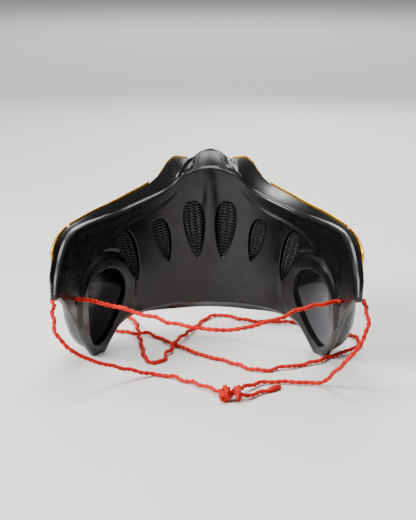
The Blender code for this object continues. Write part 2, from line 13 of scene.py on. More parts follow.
import bmesh
import bpy
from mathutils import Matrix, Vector


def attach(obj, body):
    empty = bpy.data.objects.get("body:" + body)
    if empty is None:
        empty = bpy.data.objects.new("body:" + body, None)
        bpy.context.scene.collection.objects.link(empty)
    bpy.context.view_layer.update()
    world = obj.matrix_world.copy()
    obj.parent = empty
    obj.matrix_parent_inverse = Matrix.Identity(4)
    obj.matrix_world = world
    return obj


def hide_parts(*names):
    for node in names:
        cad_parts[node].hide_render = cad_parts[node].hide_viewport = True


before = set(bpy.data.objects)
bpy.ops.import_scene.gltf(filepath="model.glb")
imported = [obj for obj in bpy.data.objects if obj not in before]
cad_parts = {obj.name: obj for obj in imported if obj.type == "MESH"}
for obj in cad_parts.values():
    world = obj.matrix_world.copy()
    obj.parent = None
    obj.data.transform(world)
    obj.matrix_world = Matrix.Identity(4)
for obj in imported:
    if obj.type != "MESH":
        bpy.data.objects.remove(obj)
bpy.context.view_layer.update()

# The shell. One half mask for nose, cheeks and chin, moulded in black plastic with a 3 mm wall. Its
# upper edge turns out into a broad bevel, it has six slots and two teardrop openings, and a small
# hole behind each jaw lobe takes the twine.
MASK_HEIGHT = 0.118
INNER_HALF_WIDTH = 0.078
INNER_DEPTH = 0.106
PLAN_POWER = 2.1
WALL = 0.003
NOSE_REACH = 0.0105
CHIN_REACH = 0.0070
FLARE = 0.0075
MUZZLE_SWELL = 0.0035
EDGE_ROUND = 0.0006
CUT_ROUND = 0.0005
CUT_PAST = 0.004
HOLE_ALONG = 0.725
HOLE_Z = 0.375
CORD_HOLE = 0.0046
NOSE_STATIONS = 54
CHEEK_STATIONS = 112
NOSE_RUN = 0.026

# Edges of the shell. along is a share of the half length of the wall, the heights are shares of
# MASK_HEIGHT, and flange is the bevel's width as a share of NOSE_REACH.
Edge = namedtuple("Edge", "along rim crest low foot flange")
EDGES = (
    Edge(0.000, 0.910, 0.992, 0.190, 0.155, 1.00),
    Edge(0.035, 0.905, 0.978, 0.190, 0.155, 0.98),
    Edge(0.075, 0.890, 0.944, 0.191, 0.156, 0.84),
    Edge(0.098, 0.880, 0.946, 0.192, 0.157, 0.84),
    Edge(0.125, 0.862, 0.952, 0.193, 0.158, 0.84),
    Edge(0.155, 0.828, 0.928, 0.193, 0.160, 0.76),
    Edge(0.185, 0.803, 0.884, 0.192, 0.163, 0.64),
    Edge(0.245, 0.774, 0.828, 0.189, 0.166, 0.56),
    Edge(0.330, 0.745, 0.790, 0.164, 0.154, 0.53),
    Edge(0.385, 0.730, 0.770, 0.120, 0.116, 0.52),
    Edge(0.412, 0.726, 0.763, 0.068, 0.066, 0.52),
    Edge(0.435, 0.723, 0.757, 0.024, 0.024, 0.51),
    Edge(0.452, 0.722, 0.754, 0.000, 0.000, 0.51),
    Edge(0.515, 0.719, 0.745, 0.000, 0.000, 0.50),
    Edge(0.540, 0.718, 0.741, 0.028, 0.028, 0.50),
    Edge(0.565, 0.718, 0.737, 0.058, 0.058, 0.50),
    Edge(0.620, 0.717, 0.731, 0.120, 0.120, 0.48),
    Edge(0.695, 0.714, 0.726, 0.218, 0.218, 0.47),
    Edge(0.776, 0.695, 0.713, 0.325, 0.325, 0.46),
    Edge(0.860, 0.642, 0.676, 0.410, 0.410, 0.45),
    Edge(0.930, 0.568, 0.612, 0.458, 0.458, 0.45),
    Edge(0.970, 0.530, 0.572, 0.468, 0.468, 0.43),
    Edge(1.000, 0.500, 0.534, 0.476, 0.476, 0.32),
)

# Where the wall swells and thickens, as (middle, reach) along it or up it, in shares.
JAW_SPAN = (0.47, 0.30)
JAW_TOP = 0.48
MUZZLE_SPAN = (0.0, 0.34)
MUZZLE_RISE = (0.34, 0.55)
LIP_FALL = 0.26
LIP_HOLLOW = 1.3
NOSE_SPAN = (0.0, 0.12)
NOSE_FALL = 0.04
NOSE_TIP_SPAN = (0.0, 0.095)
NOSE_TIP = 0.80
NOSE_BASE = 0.755
CHIN_SPAN = (0.0, 0.21)
CHIN_FOOT = 0.06
CHIN_FALL = 0.24

# The six breathing slots, three a side, in shares of the wall, with a half width as a share of the
# slot's length, and the teardrop opening in each jaw lobe.
Slot = namedtuple("Slot", "top_along top_z low_along low_z half_width")
SLOTS = (
    Slot(0.072, 0.735, 0.049, 0.435, 0.170),
    Slot(0.216, 0.652, 0.168, 0.425, 0.195),
    Slot(0.388, 0.622, 0.312, 0.350, 0.180),
)
SLOT_BELLY = 0.62
Tear = namedtuple("Tear", "up rear front")
TEAR_SHAPE = (
    Tear(0.00, 0.00, 0.00),
    Tear(0.03, 0.24, 0.24),
    Tear(0.10, 0.43, 0.44),
    Tear(0.22, 0.62, 0.64),
    Tear(0.45, 0.84, 0.88),
    Tear(0.66, 0.97, 1.00),
    Tear(0.80, 1.00, 0.92),
    Tear(0.92, 0.78, 0.66),
    Tear(0.98, 0.42, 0.34),
    Tear(1.00, 0.00, 0.00),
)
TEAR_ALONG = 0.497
TEAR_FRONT = 0.0172
TEAR_REAR = 0.0194
TEAR_FOOT = 0.054
TEAR_TOP = 0.460
TEAR_BELLY = 0.66
TEAR_SEGMENTS = 96

# Relief on the inner face: a soft ridge down the middle that widens downwards, a collar and a groove
# round each teardrop, a low swell under the slots, and a soft step from the nose to the cheek.
Ridge = namedtuple("Ridge", "up reach height")
RIDGE = (
    Ridge(0.40, 0.0135, 0.0000),
    Ridge(0.56, 0.0120, 0.0030),
    Ridge(0.66, 0.0090, 0.0026),
    Ridge(0.78, 0.0060, 0.0018),
    Ridge(0.91, 0.0038, 0.0008),
)
Crease = namedtuple("Crease", "along up")
CREASE = (
    Crease(0.10, 0.840),
    Crease(0.17, 0.745),
    Crease(0.25, 0.690),
    Crease(0.33, 0.662),
    Crease(0.42, 0.625),
    Crease(0.50, 0.570),
    Crease(0.58, 0.500),
    Crease(0.64, 0.420),
    Crease(0.70, 0.330),
)
CREASE_STEP = 0.0008
CREASE_SOFT = 0.0034
COLLAR_HEIGHT = 0.0013
COLLAR_EDGE = 1.50
GROOVE_SPAN = (1.58, 0.12)
GROOVE_DEPTH = 0.0005
SWELL_SPAN = (0.345, 0.10)
SWELL_RISE = (0.24, 0.10)
SWELL_HEIGHT = 0.0011

# Two folds run over the bevel on each side of the nose: metres from the middle, by the share of the
# way from the rim to the crest. The rim's radius is tight at the nose and broad on the cheek.
Fold = namedtuple("Fold", "share near far")
FOLDS = (
    Fold(0.00, 0.0170, 0.0195),
    Fold(0.15, 0.0114, 0.0170),
    Fold(0.45, 0.0094, 0.0144),
    Fold(1.00, 0.0072, 0.0094),
)
FOLD_HEIGHT = 0.0009
FOLD_REACH = 0.0013
HOLLOW_REACH = 0.0075
Roll = namedtuple("Roll", "along radius")
ROLLS = (
    Roll(0.00, 0.0012),
    Roll(0.10, 0.0014),
    Roll(0.20, 0.0024),
    Roll(0.45, 0.0028),
    Roll(0.93, 0.0027),
    Roll(1.00, 0.0017),
)

# Relief on the outer face: raised ribs between the slots like a moustache, a lower lip with a groove
# under it, two nostrils, and a shallow hollow at each side of the nose.
Rib = namedtuple("Rib", "top_along top_z low_along low_z half height")
RIBS = (
    Rib(0.000, 0.700, 0.000, 0.470, 0.0026, 0.0009),
    Rib(0.150, 0.700, 0.110, 0.420, 0.0030, 0.0014),
    Rib(0.300, 0.650, 0.238, 0.370, 0.0032, 0.0014),
)
LIP_RISE = (0.375, 0.040)
LIP_HEIGHT = 0.0012
UNDER_LIP_RISE = (0.318, 0.036)
UNDER_LIP_DEPTH = 0.0007
WING_SPAN = (0.073, 0.016)
WING_DEPTH = 0.0006
Nostril = namedtuple("Nostril", "across height radius depth")
NOSTRIL = Nostril(0.0048, 0.0905, 0.0024, 0.0014)

# How finely a section of the shell is drawn, in rows of points.
INNER_ROWS = 72
ROLL_ROWS = 8
BEVEL_ROWS = 24
OUTER_ROWS = 83
BEVEL_ARCH = 0.28
END_SHARES = (1.0, 0.6, 0.25, 0.06, 0.0)
SHARP = math.radians(50)
SHELL_SHARP = math.radians(40)


def smooth(share):
    """A share from 0 to 1 with a gentle start and end."""
    share = min(max(share, 0.0), 1.0)
    return share * share * (3.0 - 2.0 * share)


def bump(place, middle, reach):
    """1 at the middle, falling gently to 0 at its reach."""
    return smooth(1.0 - abs(place - middle) / reach)


def read(table, column, along):
    """A column of a table at a place between its rows, on a curve that never overshoots."""
    keys = [row[0] for row in table]
    values = [getattr(row, column) for row in table]
    along = min(max(along, keys[0]), keys[-1])
    i = min(max(bisect(keys, along) - 1, 0), len(keys) - 2)
    steps = [
        (values[k + 1] - values[k]) / (keys[k + 1] - keys[k]) for k in range(len(keys) - 1)
    ]

    def lean(k):
        if k == 0 or k == len(keys) - 1:
            return steps[min(k, len(steps) - 1)]
        before, after = steps[k - 1], steps[k]
        if before * after <= 0.0:
            return 0.0
        return 2.0 * before * after / (before + after)

    span = keys[i + 1] - keys[i]
    t = (along - keys[i]) / span
    rise = values[i + 1] - values[i]
    curve = span * (lean(i) * (t - 2 * t**2 + t**3) + lean(i + 1) * (t**3 - t**2))
    return values[i] + rise * (3 * t**2 - 2 * t**3) + curve


def plan_point(turn):
    """The wall's inner face in plan, by the angle from the nose."""
    across, ahead = math.sin(turn), math.cos(turn)
    power = 2.0 / PLAN_POWER
    return Vector((across**power * INNER_HALF_WIDTH, max(ahead, 0.0) ** power * INNER_DEPTH))


PLAN_STEPS = 360
PLAN = [plan_point(math.pi / 2 * k / PLAN_STEPS) for k in range(PLAN_STEPS + 1)]
RUNS = [0.0]
for before, after in zip(PLAN, PLAN[1:]):
    RUNS.append(RUNS[-1] + (after - before).length)
HALF_RUN = RUNS[-1]
MIDDLE_Y = (INNER_DEPTH + NOSE_REACH) / 2


def plan_place(along):
    """Point and outward normal of the wall in plan, along metres from the nose."""
    run = min(abs(along), HALF_RUN)
    k = min(max(bisect(RUNS, run) - 1, 0), PLAN_STEPS - 1)
    t = (run - RUNS[k]) / (RUNS[k + 1] - RUNS[k])
    point = PLAN[k].lerp(PLAN[k + 1], t)
    ahead = PLAN[min(k + 3, PLAN_STEPS)] - PLAN[max(k - 2, 0)]
    if run < RUNS[3]:
        ahead = Vector((1.0, 0.0)).lerp(ahead.normalized(), run / RUNS[3])
    if run > RUNS[-3]:
        ahead = Vector((0.0, -1.0))
    ahead.normalize()
    normal = Vector((-ahead.y, ahead.x))
    if along < 0.0:
        point = Vector((-point.x, point.y))
        normal = Vector((-normal.x, normal.y))
    return point, normal


def swell(along, z):
    share, up = abs(along) / HALF_RUN, z / MASK_HEIGHT
    jaw = FLARE * bump(share, *JAW_SPAN) * smooth(1.0 - up / JAW_TOP)
    muzzle = MUZZLE_SWELL * bump(share, *MUZZLE_SPAN) * bump(up, *MUZZLE_RISE)
    return jaw + muzzle


def on_wall(along, z, out):
    point, normal = plan_place(along)
    point = point + normal * (out + swell(along, z))
    return Vector((point.x, point.y - MIDDLE_Y, z))


def edge(column, along):
    return read(EDGES, column, abs(along) / HALF_RUN) * MASK_HEIGHT


def flange(along):
    return read(EDGES, "flange", abs(along) / HALF_RUN) * NOSE_REACH


def outer(along, z):
    """Distance of the shell's outer face from its inner face, without its relief."""
    share, up = abs(along) / HALF_RUN, z / MASK_HEIGHT
    crest = edge("crest", along)
    fall = (LIP_FALL - NOSE_FALL * bump(share, *NOSE_SPAN)) * MASK_HEIGHT
    lip = (flange(along) - WALL) * smooth(1.0 - (crest - z) / fall) ** LIP_HOLLOW
    under = smooth((up - NOSE_BASE) / (NOSE_TIP - NOSE_BASE))
    nose = (NOSE_REACH - WALL - swell(along, z)) * bump(share, *NOSE_TIP_SPAN) * under
    chin = (CHIN_REACH - WALL) * bump(share, *CHIN_SPAN) * smooth(1.0 - (up - CHIN_FOOT) / CHIN_FALL)
    return WALL + max(lip, nose, 0.0) + chin


def around_tear(along, z):
    """How far from the teardrop's middle a place is, with 1 on its edge."""
    foot, top = TEAR_FOOT * MASK_HEIGHT, TEAR_TOP * MASK_HEIGHT
    middle = foot + (top - foot) * TEAR_BELLY
    across = abs(along) - TEAR_ALONG * HALF_RUN
    half = TEAR_REAR if across > 0.0 else TEAR_FRONT
    reach = top - middle if z > middle else middle - foot
    return math.hypot(across / half, (z - middle) / reach)


def inside_relief(along, z):
    """How far the inner face stands towards the wearer."""
    share, up = abs(along) / HALF_RUN, z / MASK_HEIGHT
    ridge = read(RIDGE, "height", up) * bump(along, 0.0, read(RIDGE, "reach", up))
    collar = smooth((COLLAR_EDGE - around_tear(along, z)) / 0.10)
    groove = bump(around_tear(along, z), *GROOVE_SPAN)
    step = smooth(((read(CREASE, "up", share) - up) * MASK_HEIGHT) / CREASE_SOFT + 0.5)
    reach = smooth((share - 0.10) / 0.08) * smooth((0.72 - share) / 0.06)
    roll = bump(share, *SWELL_SPAN) * bump(up, *SWELL_RISE)
    high = ridge + COLLAR_HEIGHT * collar + SWELL_HEIGHT * roll
    return high - GROOVE_DEPTH * groove + CREASE_STEP * (step - 1.0) * reach


def outside_relief(along, z):
    """How far the outer face stands forwards of its plain form."""
    high = 0.0
    for rib in RIBS:
        top = Vector((rib.top_along * HALF_RUN, rib.top_z * MASK_HEIGHT))
        low = Vector((rib.low_along * HALF_RUN, rib.low_z * MASK_HEIGHT))
        line, here = low - top, Vector((abs(along), z)) - top
        t = min(max(here.dot(line) / line.length_squared, 0.0), 1.0)
        thin = 1.0 - 0.55 * abs(2.0 * t - 0.9)
        high += rib.height * bump((here - line * t).length, 0.0, rib.half * (0.6 + thin * 0.6)) * thin
    share, up = abs(along) / HALF_RUN, z / MASK_HEIGHT
    middle, reach = LIP_RISE
    lip = bump(up, middle + 0.9 * share**2, reach) * smooth((0.20 - share) / 0.08)
    middle, reach = UNDER_LIP_RISE
    groove = bump(up, middle + 0.7 * share**2, reach) * smooth((0.17 - share) / 0.08)
    away = math.hypot(abs(along) - NOSTRIL.across, z - NOSTRIL.height)
    nostril = bump(away, 0.0, NOSTRIL.radius) * NOSTRIL.depth
    wing = bump(share, *WING_SPAN) * smooth((up - 0.80) / 0.03) * smooth((0.93 - up) / 0.03)
    return high + LIP_HEIGHT * lip - UNDER_LIP_DEPTH * groove - nostril - WING_DEPTH * wing


def fold_relief(along, share):
    """Folds pressed into the bevel beside the nose, and the soft hollow between them."""
    place = abs(along)
    near, far = read(FOLDS, "near", share), read(FOLDS, "far", share)
    folds = bump(place, near, FOLD_REACH) + bump(place, far, FOLD_REACH)
    between = smooth((place - near) / 0.001) * smooth((far - place) / 0.001)
    hollow = bump(place, 0.0, HOLLOW_REACH)
    ends = smooth(share / 0.06) * smooth((1.0 - share) / 0.10)
    return (folds - 0.8 * between - 0.5 * hollow) * FOLD_HEIGHT * ends


def shell_section(along):
    """One section of the shell, from the inner edge up, over the rim and down the outside."""
    low, foot = edge("low", along), edge("foot", along)
    rim, crest = edge("rim", along), edge("crest", along)
    width, roll = flange(along), read(ROLLS, "radius", abs(along) / HALF_RUN)
    e = EDGE_ROUND
    points = []
    for k in range(INNER_ROWS):
        z = low + e + (rim - roll - low - e) * k / INNER_ROWS
        ends = smooth((z - low) / 0.004) * smooth((rim - roll - z) / 0.006)
        points.append((z, -inside_relief(along, z) * ends))
    for k in range(ROLL_ROWS):
        turn = math.pi / 2 * k / ROLL_ROWS
        points.append((rim - roll + roll * math.sin(turn), roll * (1 - math.cos(turn))))
    for k in range(BEVEL_ROWS + 1):
        t = k / BEVEL_ROWS
        z = rim + (crest - rim) * (t + BEVEL_ARCH * t * (1 - t)) + fold_relief(along, t)
        points.append((z, roll + (width - e - roll) * t))
    top_out = outer(along, crest - e)
    points.append((crest - e * 0.3, top_out - e * 0.3))
    for k in range(OUTER_ROWS + 1):
        z = crest - e + (foot + 2 * e - crest) * k / OUTER_ROWS
        ends = smooth((z - foot) / 0.003) * smooth((crest - z) / 0.005)
        points.append((z, outer(along, z) + outside_relief(along, z) * ends))
    depth = outer(along, foot)
    points.append((foot + e * 0.3, depth - e * 0.3))
    points.append((foot, depth - e))
    points.append(((foot + low) / 2, depth / 2))
    points.append((low, e))
    points.append((low + e * 0.3, e * 0.3))
    fade = HALF_RUN - abs(along)
    if fade < e:
        shrink = e - math.sqrt(max(e * e - (e - fade) ** 2, 0.0))
        mid_z, mid_out = (low + crest) / 2, width / 2
        keep_z, keep_out = 1 - 2 * shrink / (crest - low), 1 - 2 * shrink / width
        points = [(mid_z + (z - mid_z) * keep_z, mid_out + (o - mid_out) * keep_out) for z, o in points]
    return [on_wall(along, z, out) for z, out in points]


def add_object(name, data):
    made = bpy.data.objects.new(name, data)
    bpy.context.scene.collection.objects.link(made)
    return made


def outward(mesh, split):
    """Turns a mesh's faces outwards, in triangles if they are to be split."""
    bm = bmesh.new()
    bm.from_mesh(mesh)
    bmesh.ops.recalc_face_normals(bm, faces=bm.faces)
    if split:
        bmesh.ops.triangulate(bm, faces=bm.faces)
    bm.to_mesh(mesh)
    bm.free()
    mesh.shade_smooth()


def loft(name, loops):
    """A closed solid through loops of equal count, capped at both ends, smooth but for real edges."""
    count = len(loops[0])
    last = (len(loops) - 1) * count
    faces = []
    for low in range(0, last, count):
        for j in range(count):
            k = (j + 1) % count
            faces.append((low + j, low + k, low + count + k, low + count + j))
    faces.append(tuple(range(count)))
    faces.append(tuple(last + j for j in reversed(range(count))))
    mesh = bpy.data.meshes.new(name)
    mesh.from_pydata([tuple(point) for loop in loops for point in loop], [], faces)
    outward(mesh, split=True)
    mesh.set_sharp_from_angle(angle=SHARP)
    return add_object(name, mesh)


def slot_length(slot):
    run = (slot.top_along - slot.low_along) * HALF_RUN
    return math.hypot(run, (slot.top_z - slot.low_z) * MASK_HEIGHT)


def slot_place(slot, side, down, across, out_of_wall):
    """A place in a slot: down from its top to its low end, across it in metres."""
    top = Vector((slot.top_along * HALF_RUN, slot.top_z * MASK_HEIGHT))
    low = Vector((slot.low_along * HALF_RUN, slot.low_z * MASK_HEIGHT))
    square = Vector(((low - top).y, -(low - top).x)).normalized()
    place = top + (low - top) * down + square * across
    return on_wall(side * place.x, place.y, out_of_wall(side * place.x, place.y))


def slot_half(slot, down):
    """Half width of a slot: a leaf, widest above its middle and narrow at its low end."""
    leaf = math.sin(math.pi * min(max(down, 0.0), 1.0) ** SLOT_BELLY)
    return max(leaf, 0.0) ** SLOT_BELLY * slot_length(slot) * slot.half_width


def slot_outline(slot, side, grow, out_of_wall):
    stretch = grow / slot_length(slot)
    downs = [(1 - math.cos(math.pi * k / 40)) / 2 for k in range(1, 40)]
    right = [(down, slot_half(slot, down) + grow) for down in downs]
    places = [(-stretch, 0.0)] + right + [(1.0 + stretch, 0.0)]
    places += [(down, -half) for down, half in reversed(right)]
    return [slot_place(slot, side, down, across, out_of_wall) for down, across in places]


def tear_outline(side, grow, share, out_of_wall):
    """The teardrop at a share of its size, from its foot round the rear to the top and back."""
    foot, top = TEAR_FOOT * MASK_HEIGHT - grow, TEAR_TOP * MASK_HEIGHT + grow
    middle = foot + (top - foot) * TEAR_BELLY
    points = []
    for k in range(TEAR_SEGMENTS):
        turn = 2 * math.pi * k / TEAR_SEGMENTS
        up = (1 - math.cos(turn)) / 2
        if turn < math.pi:
            across = read(TEAR_SHAPE, "rear", up) * (TEAR_REAR + grow)
        else:
            across = -read(TEAR_SHAPE, "front", up) * (TEAR_FRONT + grow)
        z = middle + (foot + (top - foot) * up - middle) * share
        along = side * (TEAR_ALONG * HALF_RUN + across * share)
        points.append(on_wall(along, z, out_of_wall(along, z)))
    return points


def rounded_cutter(name, outline):
    """A cutter that flares at both faces, so that the cut edges come out rounded."""
    steps = [CUT_ROUND * k / 4 for k in range(5)]
    flares = [CUT_ROUND - math.sqrt(2 * CUT_ROUND * s - s * s) for s in steps]
    loops = [outline(flares[0], lambda a, z: -inside_relief(a, z) - CUT_PAST)]
    for step, flare in zip(steps, flares):
        loops.append(outline(flare, lambda a, z: step - inside_relief(a, z)))
    for step, flare in zip(reversed(steps), reversed(flares)):
        loops.append(outline(flare, lambda a, z: outer(a, z) + outside_relief(a, z) - step))
    loops.append(outline(flares[0], lambda a, z: outer(a, z) + outside_relief(a, z) + CUT_PAST))
    return loft(name, loops)


def hole_outline(side, grow, out_of_wall):
    along, z = side * HOLE_ALONG * HALF_RUN, HOLE_Z * MASK_HEIGHT
    radius = CORD_HOLE / 2 + grow
    points = []
    for k in range(32):
        turn = 2 * math.pi * k / 32
        a, h = along + radius * math.cos(turn), z + radius * math.sin(turn)
        points.append(on_wall(a, h, out_of_wall(a, h)))
    return points


def plain_mesh(piece):
    """Gives the piece the mesh that its modifiers make, and removes the modifiers."""
    graph = bpy.context.evaluated_depsgraph_get()
    made = bpy.data.meshes.new_from_object(piece.evaluated_get(graph))
    made.name = piece.name
    piece.modifiers.clear()
    piece.data = made
    return piece


def shade(code):
    """An sRGB hex colour as linear red, green and blue, with full alpha."""
    parts = [int(code[k : k + 2], 16) / 255 for k in (1, 3, 5)]
    linear = [p / 12.92 if p <= 0.04045 else ((p + 0.055) / 1.055) ** 2.4 for p in parts]
    return (*linear, 1.0)


def node(tree, kind, inputs=(), **settings):
    """Adds a node with its settings. An input gets a value, or links from sockets or other nodes."""
    made = tree.nodes.new(kind)
    for key, value in settings.items():
        setattr(made, key, value)
    for key, value in dict(inputs).items():
        for source in value if isinstance(value, list) else [value]:
            if isinstance(source, bpy.types.Node):
                source = next(socket for socket in source.outputs if socket.enabled)
            if isinstance(source, bpy.types.NodeSocket):
                tree.links.new(source, made.inputs[key])
            else:
                made.inputs[key].default_value = source
    return made


def new_finish(name):
    """An empty material and its tree."""
    material = bpy.data.materials.new(name)
    material.use_nodes = True
    material.node_tree.nodes.clear()
    return material, material.node_tree


def black_plastic(name, gloss, grit):
    """Satin black ABS. The mould leaves a fine grain, so highlights are broad and slightly broken.

    The grain is about 0.5 mm, with cloudy patches of gloss 12 mm across and a few pale specks. Where
    a piece carries painted ramp light, it is painted a lighter grey that stands in for light falling
    on it, and it is rougher."""
    material, tree = new_finish(name)
    place = node(tree, "ShaderNodeTexCoord").outputs["Object"]
    grain = node(tree, "ShaderNodeTexNoise", {"Vector": place, "Scale": 1900.0, "Detail": 3.0})
    cloud = node(tree, "ShaderNodeTexNoise", {"Vector": place, "Scale": 85.0, "Detail": 2.0})
    speck = node(tree, "ShaderNodeTexVoronoi", {"Vector": place, "Scale": 620.0})
    grey = node(tree, "ShaderNodeMapRange", {"Value": grain, "From Min": 0.35, "From Max": 0.72})
    clean = {"Factor": grey, "A": shade("#030304"), "B": shade("#0b0b0c")}
    clean = node(tree, "ShaderNodeMix", clean, data_type="RGBA")
    far = node(tree, "ShaderNodeMapRange", {"Value": speck, "From Min": 0.05, "From Max": 0.14})
    dust = {"Factor": far, "A": shade("#4a4a4b"), "B": shade("#000000")}
    dust = node(tree, "ShaderNodeMix", dust, data_type="RGBA")
    dusty = {"Factor": 0.35, "A": clean, "B": dust}
    dusty = node(tree, "ShaderNodeMix", dusty, data_type="RGBA", blend_type="ADD")
    # Painted light: a lighter grey put where light falls on the ramps inside the pods.
    ramp_light = node(tree, "ShaderNodeAttribute", attribute_name="scuffed").outputs["Fac"]
    colour = {"Factor": ramp_light, "A": dusty, "B": shade("#6a6a6e")}
    colour = node(tree, "ShaderNodeMix", colour, data_type="RGBA")
    patchy = {"From Min": 0.3, "From Max": 0.7, "To Min": gloss - 0.05, "To Max": gloss + 0.07}
    rough = node(tree, "ShaderNodeMapRange", {"Value": cloud, **patchy})
    duller = node(tree, "ShaderNodeMath", {0: ramp_light, 1: 0.15, 2: rough}, operation="MULTIPLY_ADD")
    relief = node(tree, "ShaderNodeBump", {"Height": grain, "Distance": 0.00012, "Strength": grit})
    finish = {"Base Color": colour, "Roughness": duller, "Normal": relief, "IOR": 1.46}
    shader = node(tree, "ShaderNodeBsdfPrincipled", finish)
    node(tree, "ShaderNodeOutputMaterial", {"Surface": shader})
    return material


def fit(piece, slot, *nodes):
    """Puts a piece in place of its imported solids."""
    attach(piece, "root")
    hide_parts(*nodes)


ends = [HALF_RUN - EDGE_ROUND * share for share in END_SHARES]
places = [NOSE_RUN * k / NOSE_STATIONS for k in range(NOSE_STATIONS)]
rest = ends[0] - NOSE_RUN
places += [NOSE_RUN + rest * k / CHEEK_STATIONS for k in range(CHEEK_STATIONS)] + ends
places = [-p for p in reversed(places[1:])] + places
shell = loft("shell_moulding", [shell_section(along) for along in places])
cutters = []
for side in (-1, 1):
    for slot in SLOTS:
        cutters.append(
            rounded_cutter("slot_cutter", lambda g, o, s=slot, d=side: slot_outline(s, d, g, o))
        )
    cutters.append(rounded_cutter("tear_cutter", lambda g, o, d=side: tear_outline(d, g, 1.0, o)))
    cutters.append(rounded_cutter("hole_cutter", lambda g, o, d=side: hole_outline(d, g, o)))
for cutter in cutters:
    cut = shell.modifiers.new("cut", "BOOLEAN")
    cut.operation = "DIFFERENCE"
    cut.object = cutter
plain_mesh(shell)
for cutter in cutters:
    bpy.data.objects.remove(cutter, do_unlink=True)
satin_black = black_plastic("satin_black_abs", 0.27, 0.35)
shell.data.materials.clear()
shell.data.materials.append(satin_black)
shell.data.set_sharp_from_angle(angle=SHELL_SHARP)
fit(shell, "black_plastic", "shell")

# The nets in the slots. Each is a leaf of black plastic let into the wall: rungs 1.85 mm apart that
# rise in three bumps, on a thin black sheet that lets no light through. The sheet is painted shade:
# it stands in for the shade seen through the gaps. Its edges run a little way into the wall. The net
# is drawn flat and then laid on the wall.
NET_PITCH = 0.00185
NET_WIRE = 0.00058
NET_DEPTH = 0.62
NET_BOW = 0.00110
NET_SHEET = 0.00016
NET_GROOVE = 0.00035
NET_BAYS = 3
NET_FILL = 0.97
NET_START = 0.8


